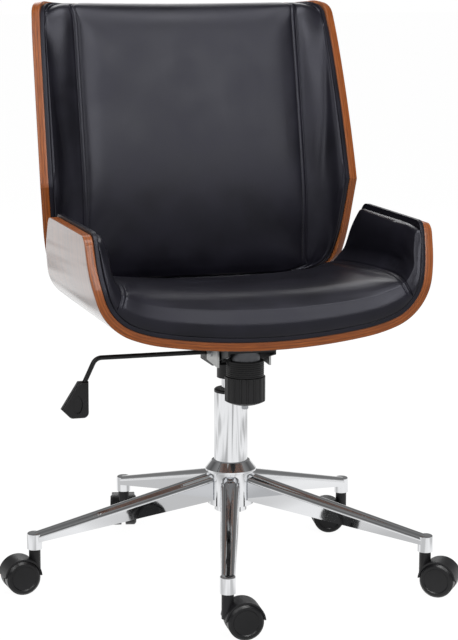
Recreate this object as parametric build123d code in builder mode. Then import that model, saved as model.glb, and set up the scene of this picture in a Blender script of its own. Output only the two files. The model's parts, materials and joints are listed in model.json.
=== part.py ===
"""Mid-back office chair: bent plywood shells, padded seat and back, tilting seat plate,
gas lift and a five-leg chromed base on twin-wheel casters.

Millimetres. The origin is on the floor under the column, +Z is up, and the chair faces -Y.
"""
from build123d import *
from math import cos, radians, sin
import os

os.makedirs("parts", exist_ok=True)

# Fits and clearances
RUN_FIT = 0.05           # radial room of a shaft that turns or slides in its hole
HOLD_FIT = 0.02          # radial room of a pressed or threaded joint
LAYER_GAP = 0.3          # room between stacked sheets and pads
MOVE_GAP = 0.6           # room between parts that move past each other
FACE_GAP = 0.1           # room between flat faces that bear on each other
PICK_ROOM = 1            # how near a corner is looked for

# Casters
WHEEL_DIAMETER = 50
WHEEL_WIDTH = 17
WHEEL_EDGE = 3           # rounding of the tread's outer edge
WHEEL_RING = 3.5         # width of the raised rim on the wheel's face
WHEEL_DISH = 1.2         # depth of the dished face inside that rim
WHEEL_SKIN = 3.5         # material between the axle's end and the outer face
AXLE_DIAMETER = 6
HOOD_WALL = 2.5
HOOD_INSET = 2.5         # the wheel's face stands out of the hood by this
HOOD_SPINE = 6           # web between the two wheels
HOOD_LIP_HEIGHT = 27     # the hood's lips end this high over the floor
CASTER_TRAIL = 22        # from the stem's axis to the axle
CASTER_HEIGHT = 63       # floor to the leg's socket
STEM_DIAMETER = 11
STEM_GRIP = 21           # length of stem inside the socket
STEM_SEAT = 12           # length of stem inside the hood
HOOD_NECK_DIAMETER = 17

# Base
LEG_COUNT = 5
CASTER_REACH = 300       # column axis to caster stem
FRONT_LEG_TURN = -17.75  # degrees from straight ahead
CASTER_TURNS = (85, 53, -100, 168, -85)   # degrees from straight ahead that each caster trails
HUB_DIAMETER = 67
HUB_BOTTOM = 110
HUB_CROWN_DIAMETER = 76  # lower edge of the hub's cone, which overhangs the legs
HUB_CROWN_EDGE = 2.5
HUB_CROWN_UNDERCUT = 2
HUB_SHOULDER = 164
HUB_TOP = 176
HUB_RIM_WIDTH = 3.5      # flat left at the top of the hub's cone
LEG_ROOT_TOP = 158
LEG_ROOT_DEPTH = 40
LEG_ROOT_WIDTH = 29
LEG_TIP_DEPTH = 14
LEG_TIP_WIDTH = 20
LEG_WALL = 2
LEG_ROUNDING = 0.42      # rounding of the leg's top as a share of its width
LEG_END_DIAMETER = 22
LEG_END_HEIGHT = 24.5
LEG_END_EDGE = 2.5
SOCKET_WALL = 2.2
STEM_CHAMFER = 1.4

# Gas lift
STAND_DIAMETER = 50
STAND_WALL = 2
LIFT_SHOWN = 22          # polished cylinder between the stand and the tilt socket
STAND_BOTTOM = 100
STAND_FLOOR = 5
STAND_TAPER = 1.2        # the stand's radius shrinks by this inside the hub
BUSH_FLANGE = 5
BUSH_CHAMFER = 1.6
BUSH_LENGTH = 62
LIFT_DIAMETER = 28
LIFT_WALL = 2
LIFT_BOTTOM = 128
LIFT_STAND_OUT = 2       # cylinder's end above the tilt cradle's floor
LIFT_TAPER = 0.7         # radius lost over the seated top end
ROD_DIAMETER = 10
ROD_BELOW_STAND = 7
PISTON_HEIGHT = 12
PISTON_DROP = 23         # piston's top below the stand's top
BEARING_HEIGHT = 8
BEARING_DIAMETER = 26
CLIP_HEIGHT = 1.5
CLIP_DIAMETER = 17
CLIP_GROOVE = 1
PIN_DIAMETER = 6
PIN_LENGTH = 19
PIN_ROUND = 2.4

# Tilt mechanism
CRADLE_TOP = 329         # floor to the tilt cradle's plate, which the seat's height follows
SOCKET_DEPTH = 27
SOCKET_DIAMETER = 42
CRADLE_PLATE = 4
CRADLE_REAR = 38
CHEEK_SPACING = 66       # inside distance between the cheeks
CHEEK_WALL = 3
CHEEK_LOW_RISE = 6
PIVOT_AHEAD = 34         # column axis to the tilt pivot
PIVOT_RISE = 18          # cradle's plate to the tilt pivot
PIVOT_DIAMETER = 12
PIVOT_BOSS = 11          # radius of the cheek around the pivot
CHEEK_SLOPE = 17.6       # pivot to the foot of the cheek's rear slope
NOSE_RISE = 14           # pivot to the top of the spring nose
NOSE_PLATE = 4
NOSE_FRONT = 104
NOSE_REAR = 48
BOLT_SLOT_LENGTH = 30
BOLT_SLOT_WIDTH = 15

# Seat plate
SEAT_ROOM = 12           # spring nose to the underside of the seat shell at its middle
SEAT_PLATE_WALL = 3
SEAT_PLATE_WIDTH = 184
SEAT_PLATE_FRONT = 112
SEAT_PLATE_REAR = 64
SEAT_PLATE_DROP = 1      # plate's top below the shell's lowest line
FLANGE_FRONT = 66
FLANGE_REAR_LEFT = -12
FLANGE_REAR_RIGHT = 14
FLANGE_DROP = 17         # pivot to the flange's lower edge
FLANGE_STEP = 3
FLANGE_SIDE_GAP = 2
PLATE_BOLT_X = 72
PLATE_BOLT_FRONT = 90
PLATE_BOLT_REAR = 46
PAD_DIAMETER = 22        # pressed-up pads round the bolt holes
BOLT_DIAMETER = 6
BOLT_HEAD_DIAMETER = 12
BOLT_HEAD_HEIGHT = 3.6
BOLT_HEAD_ROUND = 1.2
BOLT_REACH = 13
TEE_FLANGE_DIAMETER = 17
TEE_FLANGE = 1.4
TEE_BARREL_WALL = 1
TEE_BARREL_LENGTH = 8
TEE_RECESS = 2.2

# Tension spring and knob
TENSION_AHEAD = 70
TENSION_BOLT_DIAMETER = 10
TENSION_BOLT_END = 6     # bolt's end below the knob
TENSION_BOLT_CHAMFER = 1
TENSION_HEAD_DIAMETER = 17
KNOB_DIAMETER = 59
KNOB_HEIGHT = 43
KNOB_WALL = 4
KNOB_CUP = 24            # depth of the knob's open top
KNOB_FLUTES = 18
KNOB_FLUTE_RADIUS = 2.2
KNOB_DOME = 7
KNOB_DOME_MID = 17.7     # a point on the domed end: radius and height
KNOB_DOME_LOW = 2.1
NUT_FLATS = 17
NUT_HEIGHT = 8
WASHER_HEIGHT = 3
SLEEVE_DROP = 20         # sleeve's top below the spring nose's top
SLEEVE_SHOWN = 24        # sleeve above the knob
SLEEVE_DIAMETER = 55
SLEEVE_BORE = 45.6
SLEEVE_RIBS = 8
SLEEVE_RIB_DEPTH = 1.2
SPRING_DIAMETER = 44
SPRING_WIRE = 6

# Lever
LEVER_DIAMETER = 7
LEVER_RISE = 12.5        # cradle's plate to the lever's axis
LEVER_PIVOT_X = -26
LEVER_TIP_X = 31
LEVER_BEND_X = -206
LEVER_BEND_RADIUS = 14
PADDLE_TOP_X = -225
PADDLE_DROP = 33.5       # lever's axis to the paddle's top
LEVER_END_X = -231
LEVER_END_DROP = 52.5
LOCK_HOLE_DIAMETER = 8.4
BARREL_DIAMETER = 13
BARREL_LENGTH = 22
JOURNAL_DIAMETER = 7
LUG_WALL = 3
LUG_WIDTH = 15
LUG_OVER = 5.5           # lug's top above the lever's axis
PADDLE_THICKNESS = 13
PADDLE_HEIGHT = 54
PADDLE_TOP_WIDTH = 15
PADDLE_SPREAD = 33       # how far the paddle's outer corner reaches beyond its top
PADDLE_CORNER_HEIGHT = 40
PADDLE_HEEL = 19
PADDLE_ROUND = 8
PADDLE_EDGE = 3
THUMB_DEPTH = 2.5
THUMB_DROP = 33.5        # paddle's top to the middle of the thumb recess
THUMB_HEIGHT = 27

# Seat shell: one half of the bent sheet, from the middle up into the arm
PLY = 12.5
LINER = 6
SEAT_BENDS = ((900, 9.6), (230, 11.4), (84, 53), (250, 13.5))   # radius, degrees
ARM_RISE = 30            # straight top of the arm past the last bend
SEAT_FRONT = 172
SEAT_REAR = 195
ARM_HEIGHT = 167         # heights here are over the shell's underside
ARM_LEAN_HEIGHT = 87     # above this the arm's front edge leans back
ARM_FRONT_TOP = 146
ARM_REAR_TOP = 84
ARM_REAR_MID = 132
ARM_WAIST_HEIGHT = 94
HEEL_HEIGHT = 22
ARM_FRONT_ROUND = 20
ARM_REAR_ROUND = 26
SEAT_REAR_ROUND = 22
OUTLINE_MARGIN = 60      # cutters run past what they cut by this
LINER_INSET = 1.5
LINER_PROUD = 2.5        # the liner stands above the arm's plywood by this

# Seat cushion, heights over the shell's underside
SEAT_PAD_FRONT = 186
SEAT_PAD_REAR = 146
SEAT_PAD_STATIONS = (    # share of the front reach, height of the face at the middle
    (1.0, 44),
    (0.98, 56),
    (0.94, 66),
    (0.88, 72.5),
    (0.78, 76),
    (0.6, 75.6),
    (0.3, 73),
    (0.0, 69.5),
    (-0.3, 65),
    (-0.55, 60),
    (-0.8, 53),
)
SEAT_PAD_BENDS = ((1300, 6.6), (175, 18))
SEAT_PAD_ARM_BEND = (31, 52)
ARM_PAD_X = 224
ARM_PAD_TOP = 162
ARM_PAD_CROWN = 4
ARM_PAD_PROUD = 12       # the arm pad's front edge ahead of the plywood's
ARM_PAD_REAR = 62        # rear end of the arm pad's top
SEAM_WIDTH = 3.4
SEAM_DEPTH = 2.2

# Back shell: one half of its plan, from the middle round into the wing
RECLINE_REST = 12.7      # degrees the back leans at rest
BACK_FOOT_Y = 213.6
BACK_FOOT_HEIGHT = 32    # over the seat shell's underside
BACK_BENDS = ((1235, 8.6), (75, 68.4))
WING_RISE = 45
BACK_HEIGHT = 445
WING_KINK_DEPTH = 97.3
WING_KINK_HEIGHT = 152
WING_MID_DEPTH = 81.5
WING_MID_HEIGHT = 298
WING_TOP_DEPTH = 55
WING_FOOT_DEPTH = 42
WING_FOOT_HEIGHT = 28
BACK_TOP_ROUND = 24
BACK_CORNER_WIDTH = 256
BACK_CORNER_ROUND = 95
BACK_TOP_CORNER = 28

# Back cushion, depths in front of the shell's back face
BACK_PAD_STATIONS = (    # height up the slope, depth of the face at the middle
    (16, 46),
    (20, 53),
    (28, 58),
    (45, 60),
    (80, 61),
    (200, 62),
    (330, 61),
    (390, 59.5),
    (415, 57),
    (429, 53),
    (437, 48),
    (441, 42),
)
BACK_PAD_BENDS = ((2700, 3.8),)
BACK_PAD_WING_BEND = (44, 62)
BACK_PAD_WING_X = 217
BACK_PAD_TIP = 103
BACK_PAD_CROWN = 5
BACK_PAD_PROUD = 3       # the pad's edge stands in front of the plywood by this
BACK_PAD_HALF_WIDTH = 238
BACK_PAD_CORNER = 84

# Bracket between seat and back
BRACKET_WIDTH = 80
BRACKET_WALL = 6
BRACKET_FRONT = 74
BRACKET_RISE = 150
BRACKET_BEND = 18
BRACKET_BOLT_X = 24
BRACKET_SEAT_BOLTS = (96, 150)
BRACKET_BACK_BOLTS = (70, 128)

# Places worked out from the driving sizes
SOCKET_BOTTOM = CRADLE_TOP - SOCKET_DEPTH
STAND_TOP = SOCKET_BOTTOM - LIFT_SHOWN
PISTON_TOP = STAND_TOP - PISTON_DROP
LIFT_TOP = CRADLE_TOP + LIFT_STAND_OUT
CHEEK_LOW_TOP = CRADLE_TOP + CHEEK_LOW_RISE
PIVOT_HEIGHT = CRADLE_TOP + PIVOT_RISE
NOSE_TOP = PIVOT_HEIGHT + NOSE_RISE
SEAT_BASE = NOSE_TOP + SEAT_ROOM
FLANGE_BOTTOM = PIVOT_HEIGHT - FLANGE_DROP
SLEEVE_TOP = NOSE_TOP - SLEEVE_DROP
KNOB_TOP = SLEEVE_TOP - SLEEVE_SHOWN
KNOB_FLOOR_TOP = KNOB_TOP - KNOB_CUP
KNOB_BOTTOM = KNOB_TOP - KNOB_HEIGHT
TENSION_BOLT_BOTTOM = KNOB_BOTTOM - TENSION_BOLT_END
LEVER_HEIGHT = CRADLE_TOP + LEVER_RISE
LUG_TOP = LEVER_HEIGHT + LUG_OVER
PADDLE_TOP_Z = LEVER_HEIGHT - PADDLE_DROP
LEVER_END_Z = LEVER_HEIGHT - LEVER_END_DROP
ARM_TOP = SEAT_BASE + ARM_HEIGHT
ARM_FRONT_BREAK = SEAT_BASE + ARM_LEAN_HEIGHT
ARM_REAR_MID_HEIGHT = SEAT_BASE + ARM_WAIST_HEIGHT
SEAT_REAR_HEIGHT = SEAT_BASE + HEEL_HEIGHT
BACK_FOOT_Z = SEAT_BASE + BACK_FOOT_HEIGHT
WHEEL_RADIUS = WHEEL_DIAMETER / 2
HOOD_RADIUS = WHEEL_RADIUS + MOVE_GAP + HOOD_WALL
CASTER_WIDTH = 2 * WHEEL_WIDTH + HOOD_SPINE + 2 * MOVE_GAP
STAND_RADIUS = STAND_DIAMETER / 2
LIFT_RADIUS = LIFT_DIAMETER / 2
CHEEK_X = CHEEK_SPACING / 2
SEATED_SHARE = (CRADLE_TOP - SOCKET_BOTTOM) / (LIFT_TOP - SOCKET_BOTTOM)
SOCKET_TOP_BORE = LIFT_RADIUS - LIFT_TAPER * SEATED_SHARE + HOLD_FIT
FLANGE_X = CHEEK_X + CHEEK_WALL + FLANGE_SIDE_GAP
SEAT_PLATE_TOP = SEAT_BASE - SEAT_PLATE_DROP
SEAT_PLATE_BOTTOM = SEAT_PLATE_TOP - SEAT_PLATE_WALL
LINER_DEPTH = PLY + LAYER_GAP
PAD_DEPTH = LINER_DEPTH + LINER + LAYER_GAP
LEAN = radians(RECLINE_REST)
SEAT_PLANE = Plane((0, 0, SEAT_BASE), x_dir=(1, 0, 0), z_dir=(0, -1, 0))
BACK_UP = Vector(0, sin(LEAN), cos(LEAN))
BACK_AHEAD = Vector(0, -cos(LEAN), sin(LEAN))
BACK_FOOT = Vector(0, BACK_FOOT_Y, BACK_FOOT_Z)
BACK_SIDE = Plane(BACK_FOOT, x_dir=BACK_AHEAD, z_dir=(-1, 0, 0))
BACK_FACE = Plane(BACK_FOOT, x_dir=(1, 0, 0), z_dir=BACK_AHEAD)


def back_level(height):
    """Plan plane of the back at a height along its slope; its local y points forward."""
    return Plane(BACK_FOOT + BACK_UP * height, x_dir=(-1, 0, 0), z_dir=BACK_UP)


def save(piece, name):
    """Label a finished piece and write it."""
    piece.part.label = name
    export_step(piece.part, f"parts/{name}.step")


def bent_edge(bends, straight, depth):
    """Draw half of a bent sheet's edge, a depth in from its outer face; returns its end points."""
    first = Vector(0, depth)
    start = first
    heading = Vector(1, 0)
    for radius, turn in bends:
        arc = JernArc(start=start, tangent=heading, radius=radius - depth, arc_size=turn)
        start = arc @ 1
        heading = arc % 1
    end = start + heading * straight
    Line(start, end)
    return first, end


def sheet_half(bends, straight, outer, inner):
    """Draw the closed half section of a bent sheet between two depths."""
    outer_first, outer_end = bent_edge(bends, straight, outer)
    inner_first, inner_end = bent_edge(bends, straight, inner)
    Line(outer_first, inner_first)
    Line(outer_end, inner_end)


def pad_half(bends, straight, depth, face, face_bends, side_bend, tip, crown):
    """Draw the closed half section of a pad with a sewn groove before its side bend."""
    outer_first, outer_end = bent_edge(bends, straight, depth)
    start = Vector(0, face)
    heading = Vector(1, 0)
    Line(outer_first, start)
    for radius, turn in face_bends:
        arc = JernArc(start=start, tangent=heading, radius=radius, arc_size=turn)
        start = arc @ 1
        heading = arc % 1
    across = heading.rotate(Axis.Z, -90)
    groove = start + heading * (SEAM_WIDTH / 2) + across * SEAM_DEPTH
    far_side = start + heading * SEAM_WIDTH
    Line(start, groove)
    Line(groove, far_side)
    side_radius, side_turn = side_bend
    side = JernArc(start=far_side, tangent=heading, radius=side_radius, arc_size=side_turn)
    Line(side @ 1, tip)
    middle = (Vector(*tip) + outer_end) / 2 + Vector(0, crown)
    ThreePointArc(tip, middle, outer_end)


def leg_turn(index):
    """Degrees from straight ahead of a base leg."""
    return FRONT_LEG_TURN + index * 360 / LEG_COUNT


def stem_place(index):
    """Where a caster's stem stands on the floor plan."""
    turn = radians(leg_turn(index))
    return Location((CASTER_REACH * sin(turn), -CASTER_REACH * cos(turn), 0))


# Base hub: a turned ring with a cone at its top, bored for the tapered stand
HUB_CROWN_LOW = HUB_SHOULDER - HUB_CROWN_EDGE
with BuildPart() as base_hub:
    with BuildSketch(Plane.XZ):
        with BuildLine():
            Polyline(
                (STAND_RADIUS + HOLD_FIT, HUB_TOP),
                (STAND_RADIUS + HUB_RIM_WIDTH, HUB_TOP),
                (HUB_CROWN_DIAMETER / 2, HUB_SHOULDER),
                (HUB_CROWN_DIAMETER / 2, HUB_CROWN_LOW),
                (HUB_DIAMETER / 2, HUB_CROWN_LOW - HUB_CROWN_UNDERCUT),
                (HUB_DIAMETER / 2, HUB_BOTTOM),
                (STAND_RADIUS - STAND_TAPER + HOLD_FIT, HUB_BOTTOM),
                close=True,
            )
        make_face()
    revolve(axis=Axis.Z)
save(base_hub, "base_hub")


def leg_section(width, depth, top, reach, wall):
    """Sketch an arched leg section at a reach, shrunk by a wall and open below when it is not zero."""
    spill = LEG_WALL if wall else 0
    height = depth - wall + spill
    with BuildSketch(Plane.XZ.offset(reach)) as section:
        with Locations((0, top - wall - height / 2)):
            Rectangle(width - 2 * wall, height)
        fillet(section.vertices().group_by(Axis.Y)[-1], LEG_ROUNDING * (width - 2 * wall))
    return section.sketch


LEG_TIP_TOP = CASTER_HEIGHT + LEG_END_HEIGHT
LEG_START = HUB_DIAMETER / 2 - LEG_WALL

with BuildPart() as leg_end:
    with BuildSketch(Plane.XY.offset(CASTER_HEIGHT)):
        with Locations((0, -CASTER_REACH)):
            Circle(LEG_END_DIAMETER / 2)
    extrude(amount=LEG_END_HEIGHT)
    fillet(leg_end.edges().group_by(Axis.Z)[-1], LEG_END_EDGE)

with BuildPart() as leg_blank:
    loft([
        leg_section(LEG_ROOT_WIDTH, LEG_ROOT_DEPTH, LEG_ROOT_TOP, LEG_START, 0),
        leg_section(LEG_TIP_WIDTH, LEG_TIP_DEPTH, LEG_TIP_TOP, CASTER_REACH, 0),
    ])
    loft([
        leg_section(LEG_ROOT_WIDTH, LEG_ROOT_DEPTH, LEG_ROOT_TOP, LEG_START, LEG_WALL),
        leg_section(LEG_TIP_WIDTH, LEG_TIP_DEPTH, LEG_TIP_TOP, CASTER_REACH, LEG_WALL),
    ], mode=Mode.SUBTRACT)
    add(leg_end.part)
    with BuildSketch(Plane.XY.offset(CASTER_HEIGHT)):
        with Locations((0, -CASTER_REACH)):
            Circle(STEM_DIAMETER / 2 + RUN_FIT + SOCKET_WALL + HOLD_FIT)
    extrude(amount=STEM_GRIP + FACE_GAP, mode=Mode.SUBTRACT)
    Cylinder(HUB_DIAMETER / 2 + FACE_GAP, 2 * HUB_TOP, mode=Mode.SUBTRACT)

for index in range(LEG_COUNT):
    with BuildPart() as base_leg:
        add(leg_blank.part, rotation=(0, 0, leg_turn(index)))
    save(base_leg, f"base_leg_{index + 1}")

# Sleeves in the leg ends that hold the caster stems
with BuildPart() as caster_sockets:
    for index in range(LEG_COUNT):
        with BuildSketch(Plane.XY.offset(CASTER_HEIGHT)):
            with Locations(stem_place(index)):
                Circle(STEM_DIAMETER / 2 + RUN_FIT + SOCKET_WALL)
                Circle(STEM_DIAMETER / 2 + RUN_FIT, mode=Mode.SUBTRACT)
        extrude(amount=STEM_GRIP)
save(caster_sockets, "caster_sockets")

# Casters, modelled with the stem on the origin and trailing straight ahead
AXLE_PLACE = Plane((0, -CASTER_TRAIL, WHEEL_RADIUS), x_dir=(0, 1, 0), z_dir=(1, 0, 0))
WHEEL_INNER = HOOD_SPINE / 2 + MOVE_GAP
HOOD_HALF = CASTER_WIDTH / 2 - HOOD_INSET
HOOD_TOP = CASTER_HEIGHT - MOVE_GAP
AXLE_HALF = WHEEL_INNER + WHEEL_WIDTH - WHEEL_SKIN

with BuildPart() as hood_blank:
    with BuildSketch(AXLE_PLACE):
        Circle(HOOD_RADIUS)
    extrude(amount=HOOD_HALF, both=True)
    with BuildSketch(Plane.XY.offset(WHEEL_RADIUS)):
        Circle(HOOD_NECK_DIAMETER / 2)
    extrude(amount=HOOD_TOP - WHEEL_RADIUS)
    for side in (-1, 1):
        with BuildSketch(AXLE_PLACE.offset(side * HOOD_SPINE / 2)):
            Circle(WHEEL_RADIUS + MOVE_GAP)
        extrude(amount=side * CASTER_WIDTH, mode=Mode.SUBTRACT)
    with BuildSketch(Plane.XY.offset(HOOD_LIP_HEIGHT)):
        Rectangle(4 * HOOD_RADIUS + 2 * CASTER_TRAIL, 4 * HOOD_RADIUS + 2 * CASTER_TRAIL)
    extrude(amount=-HOOD_LIP_HEIGHT - HOOD_RADIUS, mode=Mode.SUBTRACT)
    with BuildSketch(AXLE_PLACE):
        Circle(WHEEL_RADIUS - 2 * MOVE_GAP - AXLE_DIAMETER / 2)
    extrude(amount=HOOD_SPINE / 2, both=True)
    with BuildSketch(AXLE_PLACE):
        Circle(AXLE_DIAMETER / 2 + HOLD_FIT)
    extrude(amount=HOOD_SPINE, both=True, mode=Mode.SUBTRACT)
    with BuildSketch(Plane.XY.offset(HOOD_TOP - STEM_SEAT)):
        Circle(STEM_DIAMETER / 2 + HOLD_FIT)
    extrude(amount=STEM_SEAT + MOVE_GAP, mode=Mode.SUBTRACT)

with BuildPart() as stem_blank:
    with BuildSketch(Plane.XY.offset(HOOD_TOP - STEM_SEAT + FACE_GAP)):
        Circle(STEM_DIAMETER / 2)
    extrude(amount=STEM_SEAT + MOVE_GAP + STEM_GRIP - 2 * FACE_GAP)
    chamfer(stem_blank.edges().group_by(Axis.Z)[-1], STEM_CHAMFER)

with BuildPart() as axle_blank:
    with BuildSketch(AXLE_PLACE):
        Circle(AXLE_DIAMETER / 2)
    extrude(amount=AXLE_HALF - FACE_GAP, both=True)

WHEEL_SECTION = Plane((0, -CASTER_TRAIL, WHEEL_RADIUS), x_dir=(1, 0, 0), z_dir=(0, -1, 0))
with BuildPart() as wheel_blank:
    with BuildSketch(WHEEL_SECTION):
        with BuildLine():
            Polyline(
                (WHEEL_INNER, AXLE_DIAMETER / 2 + RUN_FIT),
                (WHEEL_INNER, WHEEL_RADIUS),
                (WHEEL_INNER + WHEEL_WIDTH - WHEEL_EDGE, WHEEL_RADIUS),
                (WHEEL_INNER + WHEEL_WIDTH, WHEEL_RADIUS - WHEEL_EDGE),
                (WHEEL_INNER + WHEEL_WIDTH, WHEEL_RADIUS - WHEEL_EDGE - WHEEL_RING),
                (WHEEL_INNER + WHEEL_WIDTH - WHEEL_DISH, WHEEL_RADIUS - WHEEL_EDGE - WHEEL_RING - WHEEL_DISH),
                (WHEEL_INNER + WHEEL_WIDTH - WHEEL_DISH, 0),
                (AXLE_HALF, 0),
                (AXLE_HALF, AXLE_DIAMETER / 2 + RUN_FIT),
                close=True,
            )
        make_face()
    revolve(axis=Axis((0, -CASTER_TRAIL, WHEEL_RADIUS), (1, 0, 0)))

for index in range(LEG_COUNT):
    turned = stem_place(index) * Location((0, 0, 0), (0, 0, CASTER_TURNS[index]))
    number = index + 1
    for blank, name in ((hood_blank, "hood"), (stem_blank, "stem"), (axle_blank, "axle")):
        with BuildPart() as caster_piece:
            add(turned * blank.part)
        save(caster_piece, f"caster_{number}_{name}")
    with BuildPart() as caster_wheel_a:
        add(turned * wheel_blank.part)
    save(caster_wheel_a, f"caster_{number}_wheel_a")
    with BuildPart() as caster_wheel_b:
        add(turned * mirror(wheel_blank.part, about=Plane.YZ, mode=Mode.PRIVATE))
    save(caster_wheel_b, f"caster_{number}_wheel_b")

# Stand tube: tapered into the hub, closed below by a floor with the rod's hole
with BuildPart() as lift_stand_tube:
    with BuildSketch(Plane.XZ):
        with BuildLine():
            Polyline(
                (STAND_RADIUS, STAND_TOP),
                (STAND_RADIUS, HUB_TOP),
                (STAND_RADIUS - STAND_TAPER, HUB_BOTTOM),
                (STAND_RADIUS - STAND_TAPER, STAND_BOTTOM),
                (ROD_DIAMETER / 2 + RUN_FIT, STAND_BOTTOM),
                (ROD_DIAMETER / 2 + RUN_FIT, STAND_BOTTOM + STAND_FLOOR),
                (STAND_RADIUS - STAND_TAPER - STAND_WALL, STAND_BOTTOM + STAND_FLOOR),
                (STAND_RADIUS - STAND_TAPER - STAND_WALL, HUB_BOTTOM),
                (STAND_RADIUS - STAND_WALL, HUB_TOP),
                (STAND_RADIUS - STAND_WALL, STAND_TOP),
                close=True,
            )
        make_face()
    revolve(axis=Axis.Z)
save(lift_stand_tube, "lift_stand_tube")

# Guide bush in the stand's mouth
BUSH_TOP = STAND_TOP + BUSH_FLANGE
with BuildPart() as lift_guide_bush:
    with BuildSketch(Plane.XY.offset(STAND_TOP - BUSH_LENGTH)):
        Circle(STAND_RADIUS - STAND_WALL - HOLD_FIT)
    extrude(amount=BUSH_LENGTH)
    with BuildSketch(Plane.XY.offset(STAND_TOP)):
        Circle(STAND_RADIUS)
    extrude(amount=BUSH_FLANGE)
    chamfer(lift_guide_bush.edges().group_by(Axis.Z)[-1], BUSH_CHAMFER)
    Cylinder(LIFT_RADIUS + RUN_FIT, 2 * BUSH_TOP, mode=Mode.SUBTRACT)
save(lift_guide_bush, "lift_guide_bush")

# Piston rod: stands on the thrust bearing, held by a clip under the stand's floor
ROD_BOTTOM = STAND_BOTTOM - ROD_BELOW_STAND
BEARING_BOTTOM = STAND_BOTTOM + STAND_FLOOR + FACE_GAP
CLIP_TOP = STAND_BOTTOM - FACE_GAP
LIFT_BORE = LIFT_RADIUS - LIFT_WALL
with BuildPart() as lift_piston_rod:
    with BuildSketch(Plane.XY.offset(ROD_BOTTOM)):
        Circle(ROD_DIAMETER / 2)
    extrude(amount=PISTON_TOP - ROD_BOTTOM)
    with BuildSketch(Plane.XY.offset(PISTON_TOP)):
        Circle(LIFT_BORE - RUN_FIT)
    extrude(amount=-PISTON_HEIGHT)
    with BuildSketch(Plane.XY.offset(CLIP_TOP)):
        Circle(ROD_DIAMETER)
        Circle(ROD_DIAMETER / 2 - CLIP_GROOVE, mode=Mode.SUBTRACT)
    extrude(amount=-CLIP_HEIGHT - FACE_GAP, mode=Mode.SUBTRACT)
save(lift_piston_rod, "lift_piston_rod")

with BuildPart() as lift_thrust_bearing:
    with BuildSketch(Plane.XY.offset(BEARING_BOTTOM)):
        Circle(BEARING_DIAMETER / 2)
        Circle(ROD_DIAMETER / 2 + HOLD_FIT, mode=Mode.SUBTRACT)
    extrude(amount=BEARING_HEIGHT)
save(lift_thrust_bearing, "lift_thrust_bearing")

with BuildPart() as lift_retaining_clip:
    with BuildSketch(Plane.XY.offset(CLIP_TOP)):
        Circle(CLIP_DIAMETER / 2)
        Circle(ROD_DIAMETER / 2 - CLIP_GROOVE + HOLD_FIT, mode=Mode.SUBTRACT)
        with Locations((0, -CLIP_DIAMETER / 2)):
            Rectangle(ROD_DIAMETER - 2 * CLIP_GROOVE, CLIP_DIAMETER, mode=Mode.SUBTRACT)
    extrude(amount=-CLIP_HEIGHT)
save(lift_retaining_clip, "lift_retaining_clip")

# Gas cylinder: slides in the bush, its top end tapered into the tilt cradle
with BuildPart() as lift_cylinder:
    with BuildSketch(Plane.XZ):
        with BuildLine():
            Polyline(
                (PIN_DIAMETER / 2 + RUN_FIT, LIFT_TOP),
                (LIFT_RADIUS - LIFT_TAPER, LIFT_TOP),
                (LIFT_RADIUS, SOCKET_BOTTOM),
                (LIFT_RADIUS, LIFT_BOTTOM),
                (ROD_DIAMETER / 2 + RUN_FIT, LIFT_BOTTOM),
                (ROD_DIAMETER / 2 + RUN_FIT, LIFT_BOTTOM + 2 * LIFT_WALL),
                (LIFT_BORE, LIFT_BOTTOM + 2 * LIFT_WALL),
                (LIFT_BORE, SOCKET_BOTTOM),
                (PIN_DIAMETER / 2 + RUN_FIT, SOCKET_BOTTOM),
                close=True,
            )
        make_face()
    revolve(axis=Axis.Z)
save(lift_cylinder, "lift_cylinder")

# Release pin in the cylinder's top, pressed by the lever
PIN_TOP = LEVER_HEIGHT - LEVER_DIAMETER / 2 - LAYER_GAP
with BuildPart() as lift_release_pin:
    with BuildSketch(Plane.XY.offset(PIN_TOP - PIN_LENGTH)):
        Circle(PIN_DIAMETER / 2)
    extrude(amount=PIN_LENGTH)
    fillet(lift_release_pin.edges().group_by(Axis.Z)[-1], PIN_ROUND)
save(lift_release_pin, "lift_release_pin")

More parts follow.
